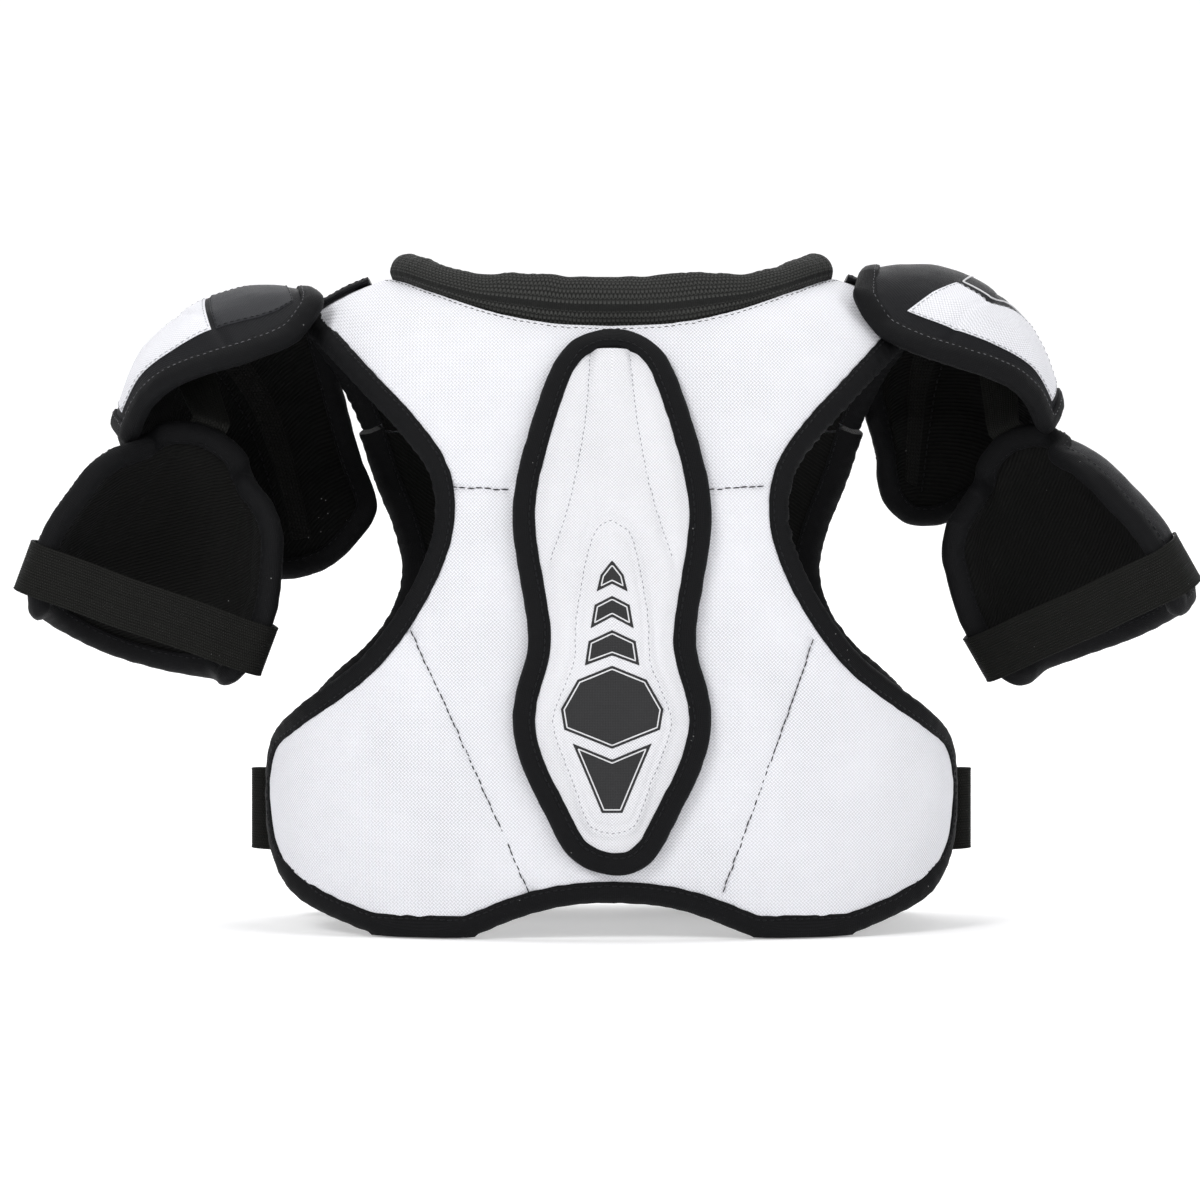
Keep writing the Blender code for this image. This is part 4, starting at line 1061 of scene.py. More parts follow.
def swell(grid, pinned, seed, least, most):
    """Height each point of a sheet rises to when padding presses it out between its seams.
    pinned is 1 where the cloth is sewn down and 0 where it is free."""
    full = grid.shape[:2]
    spread = pinned
    for axis in (0, 1):
        margin = [(1, 1) if k == axis else (0, 0) for k in (0, 1)]
        wide = np.pad(spread, margin, mode="edge")
        moved = [np.take(wide, range(k, k + full[axis]), axis=axis) for k in (0, 1, 2)]
        spread = np.maximum.reduce(moved)
    # the cloth is worked out on every other row and column
    rows, cols = full[0] // 2 + 1, full[1] // 2 + 1
    rc = fractions(rows, cols)
    sheet, sewn = surface_at(grid, rc), surface_at(spread[..., None], rc)[..., 0]
    up = normals(sheet)
    uneven = 0.12 * ripple(seed, 14.0, *np.moveaxis(sheet, -1, 0)) * (1 - sewn)
    start = sheet + up * uneven[..., None]
    mesh = bpy.data.meshes.new("swell")
    mesh.from_pydata((start.reshape(-1, 3) * MM).tolist(), [], lattice(rows, cols).tolist())
    obj = bpy.data.objects.new("swell", mesh)
    scene = bpy.context.scene
    scene.collection.objects.link(obj)
    group = obj.vertex_groups.new(name="sewn")
    levels = np.round(sewn, 1).ravel()
    for level in np.unique(levels):
        group.add(np.nonzero(levels == level)[0].tolist(), float(level), "REPLACE")
    cloth = obj.modifiers.new("Cloth", "CLOTH")
    for key, value in CLOTH_SETTINGS.items():
        setattr(cloth.settings, key, value)
    cloth.settings.effector_weights.gravity = 0.0
    cloth.collision_settings.use_collision = False
    cloth.point_cache.frame_start = 1
    cloth.point_cache.frame_end = CLOTH_FRAMES
    for number in range(1, CLOTH_FRAMES + 1):
        scene.frame_set(number)
    graph = bpy.context.evaluated_depsgraph_get()
    done = obj.evaluated_get(graph).to_mesh()
    points = np.zeros(rows * cols * 3, np.float32)
    done.vertices.foreach_get("co", points)
    obj.evaluated_get(graph).to_mesh_clear()
    bpy.data.objects.remove(obj)
    bpy.data.meshes.remove(mesh)
    scene.frame_set(1)
    rise = np.sum((points.reshape(rows, cols, 3) / MM - sheet) * up, axis=-1)
    return np.clip(surface_at(rise[..., None], fractions(*full))[..., 0], least, most)


def padded(grid, up, height, pinned, seed, least, most, face=1):
    """Heights with the swelling added. face -1 is the sheet on the grid's underside."""
    sheet = (grid + up * (face * height)[..., None])[:, ::face]
    return height + swell(sheet, pinned[:, ::face], seed, least, most)[:, ::face]


# ------------------------------------------------------------ bound edges
def edge_tape(name, path, out, up, body, over, tall, replaces, seed, pucker, floor=False):
    """A bound edge with stitches on both faces. over is how far its inner edge reaches towards
    the panel, tall half its thickness, pucker how strongly it is gathered."""
    over = np.broadcast_to(over, (len(path),))
    sections = []
    for reach in over:
        top = [
            (-reach, tall - 0.85), (-reach + 0.25, tall - 0.2), (-reach + 1.0, tall),
            (-reach * 0.55, tall + 0.05), (-1.6, tall - 0.1), (0.6, tall * 0.90),
            (2.2, tall * 0.72), (3.5, tall * 0.46), (BEAD_R - 0.15, tall * 0.18)]
        sections.append(top + [(BEAD_R, 0.0)] + [(x, -y) for x, y in top[::-1]])
    section = np.array(sections, float)
    run = run_of(path)
    wave = np.sin(2 * math.pi * run / 6.2 + 1.3 * ripple(seed + 9, 25.0, run))
    away = unit(section - section.mean(axis=1, keepdims=True))
    share = np.clip((section[..., :1] + 5) / 6, 0.15, 1)
    section = section + away * (0.42 * pucker * wave)[:, None, None] * share
    sweep(name, path, out, up, section, "black_binding", body, replaces, floor=floor,
          fuzz=0.16, seed=seed)
    seam = path - out * (over - 2.1)[:, None]
    for face, tail in ((1, ""), (-1, "_inside")):
        line = seam + up * face * (tall + 0.10)
        if floor:
            line[:, 2] = np.maximum(line[:, 2], 0.4)
        thread(f"{name}_stitches{tail}", line, up * face, body, seed=seed)


def rim_tape(part, side, grid, inner, low, seed, pale=False):
    """A bound edge all round a cap or guard. inner is how far it reaches over the panel, low
    how far down its underside is."""
    name, body, top = f"{part}_edge_tape_{side}", f"{part}_{side}", 5.0
    path, out, up = rim_frames(grid, ("bottom", "right", "top", "left"), BEAD_OUT - 0.3,
                               520 if pale else 560)

    def flank(tall):
        return [
            (-inner, tall - 0.9), (-inner + 0.3, tall - 0.2), (-inner + 1.1, tall),
            (-inner * 0.5, tall + 0.1), (-1.0, tall - 0.15), (1.0, tall * 0.86),
            (2.6, tall * 0.62), (3.7, tall * 0.34)]

    section = flank(top) + [(4.3, 0.0)] + [(x, -y) for x, y in flank(low)[::-1]]
    sweep(name, path, out, up, section, "black_binding", body, (f"{part}_binding_{side}",),
          closed=True, fuzz=0.16, seed=seed)
    for face, tall, tail in ((1, top, ""), (-1, low, "_inside")):
        line = path - out * (inner - 2.0) + up * face * (tall + 0.08)
        look = dict(length=2.6, radius=0.3)
        if pale and face > 0:
            look = dict(length=1.9, radius=0.2, slot="thread_grey")
        thread(f"{name}_stitches{tail}", line, up * face, body, gap=1.5, seed=seed + 1,
               closed=True, **look)


# ------------------------------------------------------------ torso panels
BACK_OUTLINE = [unrolled(line) for line in (BACK_HEM, BACK_SIDE, BACK_TOP)]
CHEST_OUTLINE = [np.array(line, float) for line in (CHEST_HEM, CHEST_SIDE, CHEST_HEAD)]
COARSE_CUTS = (0, 0.16, 0.31, 0.45, 0.58, 0.69, 0.79, 0.89, 1)  # columns, middle to side
FINE_CUTS = np.interp(np.linspace(0, 1, 65), np.linspace(0, 1, 9), COARSE_CUTS)

BACK_SEAMS = [unrolled(line) for line in (  # x, z
    [(-80.0, 225.2), (-66, 224.4), (-50.5, 223.6)],
    [(47.5, 223.6), (62, 224.6), (75.5, 225.8)],
    [(-99.5, 154.0), (-92, 137), (-83.5, 119.0), (-72, 93), (-56, 57), (-41.0, 23.0)],
    [(99.5, 149.5), (94.5, 134), (89.0, 118.0), (79, 90), (66, 54), (54.5, 23.0)])]
CHEST_SEAMS = [np.array(line, float) for line in (  # distance round the body, z
    [(-106, 190), (-80, 192), (-40, 196)],
    [(106, 190), (80, 192), (40, 196)],
    [(-126, 140), (-104, 100), (-86, 60), (-72, 16)],
    [(126, 140), (104, 100), (86, 60), (72, 16)])]


def torso_half(outline, rows, cuts):
    """Right half of a torso panel, flat: its grid, and its edge from hem to top."""
    hem, side, top = outline
    bottom, right, head = spaced(hem, cuts), fair(side, rows), spaced(top, cuts)
    middle = np.stack([np.zeros(rows), np.linspace(bottom[0, 1], head[0, 1], rows)], axis=1)
    return coons(bottom, head, middle, right, cuts), np.vstack([bottom, right, head[::-1]])


def chest_flanks(grid):
    """1 where the chest cover lies flat under the loop tapes sewn to both flanks."""
    y, z = grid[..., 1] - SHIFT_Y, grid[..., 2]
    tall = step(z, 32, 38) * (1 - step(z, 80, 86))
    return step(np.abs(grid[..., 0]), 140, 147) * tall * (1 - step(y, 37, 45)) * step(y, 3, 9)


def panel_layers(body, surface, face, outline, rows, seams, pad, lift, most, seeds):
    """Cover, foam and lining of a torso panel. pad is the outline of the raised pad on it,
    most the highest swelling, seeds those of the cover, its swelling and the lining."""
    cover_seed, swell_seed, lining_seed = seeds
    half, edge = torso_half(outline, rows, FINE_CUTS)
    flat = two_sided(half)[:, ::face]
    loop = np.vstack([edge, edge[::-1] * (-1, 1)])
    grid = surface(flat)
    up = normals(grid)
    rim, seam = near(flat, loop), near_any(flat, seams)
    under = step(inward(flat, mirrored(pad)), -12.0, -5.0)  # 1 under the raised pad
    flank = chest_flanks(grid) if body == "chest" else 0.0

    crown = 1.7 * (1 - np.exp(-rim / 7.0))
    drawn = 1.35 * trough(seam, 2.0) + 0.45 * trough(seam, 7.0)
    small = 0.14 * ripple(cover_seed, 8.0, flat[..., 0], flat[..., 1])
    small = small * (trough(seam, 6.0) + 0.9 * np.exp(-rim / 6.0))
    slow = 0.22 * ripple(cover_seed + 1, 55.0, flat[..., 0], flat[..., 1])
    rise = (crown - drawn + small + slow * (1 - np.exp(-rim / 15.0))) * (1 - under)
    height = COVER_AT + lift + rise - 0.25
    pinned = np.clip(trough(rim, 2.5) + trough(seam, 1.6) + under + flank, 0, 1)
    swelling = swell(grid + up * height[..., None], pinned, swell_seed, least=-0.3, most=most)
    height = height + swelling * (1 - under)
    height = height + np.minimum(COVER_AT + lift - 0.35 - height, 0) * flank
    skin(f"{body}_cover_cloth", grid, up, height, COVER_AT - SKIN_T + lift, "white_weave",
         body, (f"{body}_cover",), flat)

    thin = np.s_[::3, ::4]
    core = FOAM_T / 2 - 0.15 * (1 - np.exp(-rim[thin] / 6))
    skin(f"{body}_foam_core", grid[thin], up[thin], core, -core, "foam", body,
         (f"{body}_foam",), flat[thin])

    thin = np.s_[::2, ::2]
    quilt = 0.9 * (1 - np.exp(-rim / 7.0)) - 0.9 * trough(seam, 2.4)
    quilt = quilt + 0.12 * ripple(lining_seed, 30.0, flat[..., 0], flat[..., 1])
    skin(f"{body}_lining", grid[thin], up[thin], -(COVER_AT - SKIN_T),
         -(COVER_AT + quilt[thin]), "black_lining", body, (f"{body}_liner",), flat[thin])


def panel_rim(grid, offset, samples):
    """Path of a torso panel's bound edge, rounded most along the hem."""
    path, out, up = rim_frames(grid, ("left", "bottom", "right"), offset, samples)
    return relaxed(path, out, up, 3.0 + 6.0 * step(path[:, 2], 62, 36))


def back_panel():
    panel_layers("back", on_back, 1, BACK_OUTLINE, 150, BACK_SEAMS, SPINE, lift=0.0, most=1.6,
                 seeds=(11, 5, 21))
    grid = on_back(two_sided(torso_half(BACK_OUTLINE, 15, COARSE_CUTS)[0]))
    path, out, up = panel_rim(grid, BEAD_OUT, 620)
    x, z = path[:, 0], path[:, 2]
    over = 6.5 + np.clip(5.0 - z, 0, 4.2) * step(z, 30, 12)
    gathered = step(z, 165, 195) * step(z, 330, 300)
    gathered = np.where(x > 0, gathered, 0.45 * gathered)
    edge_tape("back_edge_tape", path, out, up, "back", over, 5.85, ("back_binding",), seed=31,
              pucker=gathered, floor=True)
    for k, seam in enumerate(BACK_SEAMS):
        at, off = lifted(on_back, fair(seam, 160), COVER_AT + 0.12)
        thread(f"back_seam_stitches_{k + 1}", at, off, "back", length=3.6, gap=0.25,
               radius=0.32, wander=0.2, seed=41 + k)
    # the collar's sewn edge
    neck = fair(both_ways(BACK_OUTLINE[2][:6]), 420) - (0, 1.6)
    at, off = lifted(on_back, neck, COVER_AT + 0.05)
    thread("collar_seam_stitches", at, off, "back", length=2.5, gap=1.0, radius=0.25, seed=51)
    return grid


def chest_panel():
    panel_layers("chest", on_chest, -1, CHEST_OUTLINE, 120, CHEST_SEAMS, STERNUM,
                 lift=CHEST_LIFT, most=1.5, seeds=(61, 6, 22))
    grid = on_chest(two_sided(torso_half(CHEST_OUTLINE, 12, COARSE_CUTS)[0]))[:, ::-1]
    path, out, up = panel_rim(grid, BEAD_OUT + 1.8, 560)
    edge_tape("chest_edge_tape", path, out, up, "chest", 8.4, 6.3, ("chest_binding",), seed=33,
              pucker=0.3, floor=True)
    for k, seam in enumerate(CHEST_SEAMS):
        at, off = lifted(on_chest, fair(seam, 140), COVER_AT + CHEST_LIFT - 0.05, -1)
        thread(f"chest_seam_stitches_{k + 1}", at, off, "chest", length=3.6, gap=0.55,
               radius=0.3, wander=0.2, seed=71 + k)
    head = fair(both_ways(CHEST_HEAD), 300) - (0, 2.0)
    at, off = lifted(on_chest, head, COVER_AT + CHEST_LIFT, -1)
    thread("chest_top_stitches", at, off, "chest", length=2.7, gap=1.2, radius=0.4, seed=81)
    return grid


# ------------------------------------------------------------ spine and sternum pads
# grooves down the spine pad, and the stitches in them: x, z
GROOVES = [
    [(-10.5, 291.5), (-12.5, 262), (-15.5, 241.5), (-21, 217), (-31.5, 185.5)],
    [(8.5, 288.5), (12.5, 255.5), (18.5, 224.5), (30.5, 187.5)],
]
GROOVE_STITCHES = [
    [(-10.5, 290.0), (-12.5, 262), (-15.5, 241.5), (-21, 217), (-30.5, 187.5)],
    [(8.5, 287.5), (12.5, 255.5), (18.5, 224.5), (29.5, 189.5)],
]
# nested drop shapes on the spine pad, left half from top to bottom: x, z
DROP_INNER = [
    (0, 203), (-5.5, 200.5), (-9, 192), (-12.5, 176), (-15, 160), (-16, 137), (-22, 121),
    (-26.3, 110), (-24.6, 101), (-17, 80), (-9.5, 60), (-4, 57.5)]
DROP_STITCHES = [
    (0, 208), (-7.2, 204.5), (-11.5, 194), (-15, 177), (-17.7, 159), (-18.8, 138.5),
    (-25.2, 121.5), (-28.8, 110), (-27, 99.5), (-19, 78), (-11.2, 57.5), (-4.5, 54)]
DROP_OUTER = [
    (0, 212), (-8, 208), (-13.5, 196), (-17.5, 178), (-20, 158), (-21.5, 140), (-28, 122),
    (-31, 110), (-29, 98), (-21, 76), (-13, 55), (-5, 50.5)]
STERNUM_RIB = [(14, 226), (16, 190), (15, 150), (9, 104)]  # groove right of the middle


def drop_loop(half, count=160):
    line = np.array(half, float)
    return fair(np.vstack([line, line[:0:-1] * (-1, 1)]), count, closed=True)


def relief(x, z):
    """Height of the moulded spine pad over its underside."""
    p = np.stack([x, z], axis=-1)
    rim = inward(p, mirrored(fair(SPINE, 120)))
    groove = np.minimum.reduce([near(p, fair(line, 50)) for line in GROOVES])
    inner, outer = inward(p, drop_loop(DROP_INNER)), inward(p, drop_loop(DROP_OUTER))
    height = 4.7 + 1.5 * step(rim, 0, 8)
    height = height + 1.2 * step(outer, -2.2, 2.6) - 0.55 * trough(outer, 1.6)
    height = height + 0.9 * step(inner, -1.2, 1.6) - 0.40 * trough(inner, 1.1)
    # the field between the grooves is raised
    ends = [185, 290]
    sides = step(np.abs(x), np.interp(z, ends, [29, 9.5]), np.interp(z, ends, [25, 6.5]) - 0.5)
    between = step(z, 178, 205) * sides
    height = height + 0.9 * between * (1 - step(outer, -6, 0))
    return height - 0.7 * trough(groove, 1.3) - 1.0 * trough(groove, 4.6)


def pad_flat(outline, cols, rows):
    """Flat grid of a raised pad, its rows closer together at both ends."""
    line = fair(outline, 400)
    low = outline[0][1] + 0.8
    span = outline[-1][1] - outline[0][1] - 1.6
    eased = 0.5 - 0.5 * np.cos(np.linspace(0, math.pi, rows))
    z = low + span * eased * 0.35 + 0.65 * np.linspace(0, span, rows)
    rising = np.maximum.accumulate(line[:, 1] + 1e-6 * np.arange(400))
    width = np.interp(z, rising, line[:, 0])
    across = width[:, None] * np.arange(cols) / (cols - 1)
    return two_sided(np.stack(np.broadcast_arrays(across, z[:, None]), axis=-1))


def ring_frames(outline, samples, offset, surface, lift, face):
    """Path outside a pad's outline with its outward and normal directions."""
    path = fair(mirrored(outline), samples, closed=True)
    heading = headings(path, closed=True)
    out = unit(np.stack([heading[:, 1], -heading[:, 0]], axis=1))
    if np.sum((path - path.mean(axis=0)) * out) < 0:
        out = -out
    at = path + out * offset
    base, up = lifted(surface, at, lift, face)
    further, _ = lifted(surface, at + out * 0.5, lift, face)
    return base, unit(further - base), up


def pad_tape(part, body, ring, inner, stitch_at, seed):
    """Bound edge of a raised pad. inner holds the across values of its inner shoulder."""
    path, out, up = ring
    section = list(zip(inner, (1.9, 2.9, 3.55, 3.9))) + [
        (-1.2, 3.95), (1.0, 3.5), (2.8, 2.4), (4.0, 0.8), (4.5, -1.2), (4.5, -3.2),
        (4.0, -5.0), (2.0, -5.6), (-2.0, -5.7), (inner[0], -5.7)]
    sweep(f"{part}_edge_tape", path, out, up, section, "black_binding", body,
          (f"{part}_binding",), closed=True, fuzz=0.13, seed=seed)
    line = path + out * stitch_at + up * 3.95
    thread(f"{part}_edge_stitches", line, up, body, seed=seed + 1, closed=True)


def spine_pad():
    flat = pad_flat(SPINE, 44, 230)
    grid = on_back(flat)
    x, z = grid[..., 0], flat[..., 1]
    height = relief(x, z) + 0.06 * ripple(91, 9.0, x, z)
    skin("spine_pad_cloth", grid, normals(grid), PAD_AT + height, PAD_AT - 0.3, "white_pad",
         "back", ("spine_pad",), flat)
    ring = ring_frames(SPINE, 420, BEAD_OUT + 0.9, on_back, COVER_AT + GAP + 0.4 + BEAD_R, 1)
    pad_tape("spine", "back", relaxed(*ring, 5.0, closed=True), (-7.1, -6.7, -5.6, -3.6),
             stitch_at=-4.4, seed=35)

    def on_pad(line, extra):
        height = relief(line[:, 0], line[:, 1])
        at, up = lifted(on_back, unrolled(line), PAD_AT + height)
        return at + up * extra, up

    pale = dict(radius=0.2, slot="thread_seam")
    for k, line in enumerate(GROOVE_STITCHES):
        thread(f"spine_groove_stitches_{k + 1}", *on_pad(fair(line, 120), 0.05), "back",
               length=1.6, gap=1.2, seed=95 + k, **pale)
    loop = drop_loop(DROP_STITCHES, 300)
    thread("spine_drop_stitches", *on_pad(np.vstack([loop, loop[:1]]), 0.02), "back",
           length=1.5, gap=1.3, seed=97, **pale)
    for name, outline in MARKS.items():
        applique(name, np.array(outline, float))


def inset(loop, distance):
    """A closed outline moved inwards, corner by corner."""
    turning = 1.0 if signed_area(loop) > 0 else -1.0
    moved = []
    for k in range(len(loop)):
        before, here, after = loop[k - 1], loop[k], loop[(k + 1) % len(loop)]
        first, second = unit(here - before), unit(after - here)
        first_in = np.array([-first[1], first[0]]) * turning
        bisector = first_in + np.array([-second[1], second[0]]) * turning
        bisector = bisector / max(bisector @ first_in, 0.3)
        moved.append(here + bisector * distance)
    return np.array(moved)


def dense(loop, pitch):
    """A closed outline's straight sides cut into short runs."""
    points = []
    for a, b in zip(loop, np.roll(loop, -1, axis=0)):
        count = max(int(np.linalg.norm(b - a) / pitch), 1)
        points += [a + (b - a) * i / count for i in range(count)]
    return np.array(points)


def filled(loop):
    """An outline filled with small triangles: points, triangles, and its edges in the
    direction the triangles' backs need."""
    bm = bmesh.new()
    bm.faces.new([bm.verts.new((x, z, 0)) for x, z in loop])
    bmesh.ops.triangulate(bm, faces=bm.faces)
    for _ in range(3):
        long = [edge for edge in bm.edges if edge.calc_length() > 2.0]
        if not long:
            break
        bmesh.ops.subdivide_edges(bm, edges=long, cuts=1, use_grid_fill=False)
        bmesh.ops.triangulate(bm, faces=bm.faces)
    bm.verts.ensure_lookup_table()
    bm.normal_update()
    points = np.array([(v.co.x, v.co.y) for v in bm.verts])
    triangles = [tuple(v.index for v in face.verts) for face in bm.faces]
    flipped = next(iter(bm.faces)).normal.z < 0
    if flipped:
        triangles = [corners[::-1] for corners in triangles]
    edges = []
    for edge in bm.edges:
        if len(edge.link_faces) == 1:
            a, b = edge.verts[0].index, edge.verts[1].index
            forward = edge.link_loops[0].vert.index == a
            edges.append((b, a) if forward != flipped else (a, b))
    bm.free()
    return points, triangles, edges


def applique(name, outline):
    """A cut cloth shape laid on the spine pad's relief, a pale line just inside its edge."""
    loop = dense(outline, 1.0)
    centre = outline.mean(axis=0)
    # the cloth bridges hollows deeper than this
    least = relief(centre[:1], centre[1:])[0] - 0.25
    flat, triangles, edges = filled(loop)
    base = np.maximum(relief(flat[:, 0], flat[:, 1]), least)
    rim = near(flat, np.vstack([loop, loop[:1]]))
    thick = 0.55
    rise = thick * (0.35 + 0.65 * step(rim, 0.0, 0.7))
    top, _ = lifted(on_back, unrolled(flat), PAD_AT + base + rise)
    under, _ = lifted(on_back, unrolled(flat), PAD_AT + base - 0.7)
    count = len(flat)
    faces = triangles + [tuple(i + count for i in corners[::-1]) for corners in triangles]
    faces += [(a, b, b + count, a + count) for a, b in edges]
    build(f"{name}_patch", np.concatenate([top, under]), faces, "applique", "back", (name,),
          np.concatenate([flat, flat]), sharp=50)
    line = dense(inset(outline, 1.55), 0.8)
    line = np.vstack([line, line[:1]])
    base = np.maximum(relief(line[:, 0], line[:, 1]), least)
    at, up = lifted(on_back, unrolled(line), PAD_AT + base + thick)
    trim(f"{name}_outline", at, up, (0.36, -0.2, 0.14, 0.22), "back")


def sternum_pad():
    low = PAD_AT + CHEST_LIFT
    flat = pad_flat(STERNUM, 30, 150)[:, ::-1]
    grid = on_chest(flat)
    rim = inward(flat, mirrored(fair(STERNUM, 120)))
    ribs = [fair(np.array(STERNUM_RIB) * (sign, 1), 40) for sign in (-1, 1)]
    rib = np.minimum(*(near(flat, line) for line in ribs))
    height = 4.8 + 2.6 * step(rim, 0, 9) - 1.0 * trough(rib, 1.5)
    height = height + 0.06 * ripple(92, 9.0, flat[..., 0], flat[..., 1])
    skin("sternum_pad_cloth", grid, normals(grid), low + height, low - 0.3, "white_pad",
         "chest", ("sternum_pad",), flat)
    lift = COVER_AT + CHEST_LIFT + GAP + 0.4 + BEAD_R
    ring = ring_frames(STERNUM, 320, BEAD_OUT + 0.5, on_chest, lift, -1)
    pad_tape("sternum", "chest", ring, (-6.7, -6.3, -5.2, -3.4), stitch_at=-4.2, seed=37)


# ------------------------------------------------------------ yokes and collar
def yoke_flat(sign, rows, cols):
    flat = coons(fair(YOKE_FOOT, cols), fair(YOKE_HEAD, cols), fair(YOKE_IN, rows),
                 fair(YOKE_OUT, rows))
    flat[..., 0] *= sign
    return flat[:, ::-sign]


def yoke(side, sign):
    flat = yoke_flat(sign, rows=46, cols=26)
    grid = on_chest(flat)
    up = normals(grid)
    gap = rim_gap(grid)
    half = (FOAM_T + 2 * SKIN_T) / 2
    height = half - 0.5 + 1.5 * (1 - np.exp(-gap / 6))
    height = height + 0.15 * ripple(101, 12.0, grid[..., 0], grid[..., 2])
    low = -(half - 0.5) - 0.8 * (1 - np.exp(-gap / 6))
    skin(f"yoke_cloth_{side}", grid, up, height, 0.2, "white_weave", "back",
         (f"yoke_{side}",), flat)
    skin(f"yoke_lining_{side}", grid, up, 0.0, low, "black_lining", "back", (), flat)
    coarse = on_chest(yoke_flat(sign, rows=6, cols=5))
    path, out, tape_up = rim_frames(coarse, ("left" if sign > 0 else "right",), BEAD_OUT, 110)
    edge_tape(f"yoke_edge_tape_{side}", path, out, tape_up, "back", 6.4, 5.7,
              (f"yoke_binding_{side}",), seed=39, pucker=0.4)
    # the fold between yoke and chest panel
    fold_z = np.linspace(CHEST_TOP - 1.5, CHEST_TOP + 4.7, 8)
    strip = np.stack(np.meshgrid(np.linspace(80, 130, 24) * sign, fold_z), axis=-1)[:, ::-sign]
    fold = on_chest(strip)
    fold_up = normals(fold)
    body = ("chest", "back", (0, 92.0, CHEST_TOP - 1.0), (0, 92.0, CHEST_TOP + 4.2))
    skin(f"yoke_fold_cloth_{side}", fold, fold_up, 4.0, 2.6, "white_weave", body, (), strip)
    skin(f"yoke_fold_lining_{side}", fold, fold_up, -2.4, -3.6, "black_lining", body, (), strip)
    return coarse


def roll(name, path, body, replaces, tall, seed):
    """A padded knitted roll, tapering at its ends and creased across where it bends.
    tall is its height over its usual size."""
    heading = unit(np.gradient(path, axis=0))
    upright = np.array([0, 0, 1.0])
    high = unit(upright - heading * (heading @ upright)[:, None])
    run = run_of(path)
    angle = 2 * math.pi * np.arange(30) / 30
    tip = np.clip(np.minimum(run, run[-1] - run) / 11.0, 0, 1)
    size = np.sqrt(np.clip(1 - (1 - tip) ** 2, 0.004, 1))[:, None]
    bend = np.linalg.norm(np.gradient(heading, axis=0), axis=1) / max(run[1], 1e-6)
    crease = 0.25 * step(bend, 0.006, 0.02)[:, None]
    extra = np.broadcast_to(tall, run.shape)[:, None] - 1
    run = run[:, None]
    radius = COLLAR_R * (1 + 0.018 * np.sin(angle * 3 + run * 0.05))
    uneven = 0.22 * ripple(seed, 16.0, run, angle * 5.0)
    uneven = uneven + crease * np.sin(2 * math.pi * run / 5.5 + np.sin(angle))
    radius = (radius + uneven) * size
    rise = np.sign(np.sin(angle)) * np.abs(np.sin(angle)) ** (1 - 0.15 * extra)
    rise = rise * radius * (extra + 1) + extra * COLLAR_R * 0.8 * size
    section = np.stack([rise, np.cos(angle) * radius * 0.97 * (1 - 0.12 * extra)], axis=-1)
    sweep(name, path, high, square_to(path, high), section, "black_mesh", body, replaces)


def collar(back, yokes):
    """The roll round the back of the neck and down the inner edges of both yokes."""
    middle = back.shape[1] // 2
    top = edge_offset(back, "top", COLLAR_OUT)
    halves = {}
    for _, sign in SIDES:
        half = (top[middle:] if sign > 0 else top[: middle + 1][::-1])[:6]
        inner = "right" if sign > 0 else "left"
        front = edge_offset(yokes[sign], inner, COLLAR_OUT, 1.0)[::-1]
        halves[sign] = np.vstack([half, front[1:]])
    path = fair(fair(np.vstack([halves[-1][:0:-1], halves[1]]), 39), 420)
    behind = step(path[:, 1], -40.0, -75.0)
    tall = 1.02 + 0.72 * behind * step(np.abs(path[:, 0]), 100.0, 38.0)
    roll("collar_roll", path, "back", ("collar_back",), tall, 111)


def collar_front(chest):
    middle = chest.shape[1] // 2
    line = edge_offset(chest, "top", COLLAR_OUT, -1.0)[middle - 3 : middle + 4]
    roll("collar_front_roll", fair(fair(line, 9), 120), "chest", ("collar_front",), 1.0, 112)


# ------------------------------------------------------------ shoulder caps
# row and column fractions: row 0 is a cap's rear edge, column 0 its neck side
CAP_COVER_SEAMS = [
    [(0.0, 0.40), (0.10, 0.42), (0.22, 0.52), (0.34, 0.52)],
    [(0.34, 0.0), (0.34, 0.5), (0.34, 1.0)],
    [(0.62, 0.0), (0.62, 0.5), (0.60, 1.0)],
]
# patches: material, then bottom, right, top and left edges
FRONT_PATCH = (
    "charcoal",
    [(0.66, 0.08), (0.66, 0.5), (0.66, 0.92)], [(0.66, 0.92), (0.80, 0.92), (0.95, 0.9)],
    [(0.95, 0.1), (0.96, 0.5), (0.95, 0.9)], [(0.66, 0.08), (0.8, 0.08), (0.95, 0.1)])
CAP_PATCHES = {
    "right": [
        ("white_weave",
         [(0.045, 0.20), (0.042, 0.5), (0.045, 0.965)],
         [(0.045, 0.965), (0.14, 0.968), (0.27, 0.965)],
         [(0.20, 0.34), (0.17, 0.50), (0.275, 0.74), (0.27, 0.965)],
         [(0.045, 0.20), (0.12, 0.265), (0.20, 0.34)]),
        FRONT_PATCH,
    ],
    "left": [
        ("white_weave",
         [(0.065, 0.43), (0.055, 0.62), (0.05, 0.965)],
         [(0.05, 0.965), (0.15, 0.97), (0.27, 0.965)],
         [(0.27, 0.385), (0.275, 0.65), (0.27, 0.965)],
         [(0.065, 0.43), (0.17, 0.41), (0.27, 0.385)]),
        ("charcoal",
         [(0.05, 0.06), (0.055, 0.24), (0.065, 0.41)],
         [(0.065, 0.41), (0.17, 0.39), (0.27, 0.365)],
         [(0.285, 0.05), (0.28, 0.20), (0.27, 0.365)],
         [(0.05, 0.06), (0.16, 0.055), (0.285, 0.05)]),
        FRONT_PATCH,
    ],
}
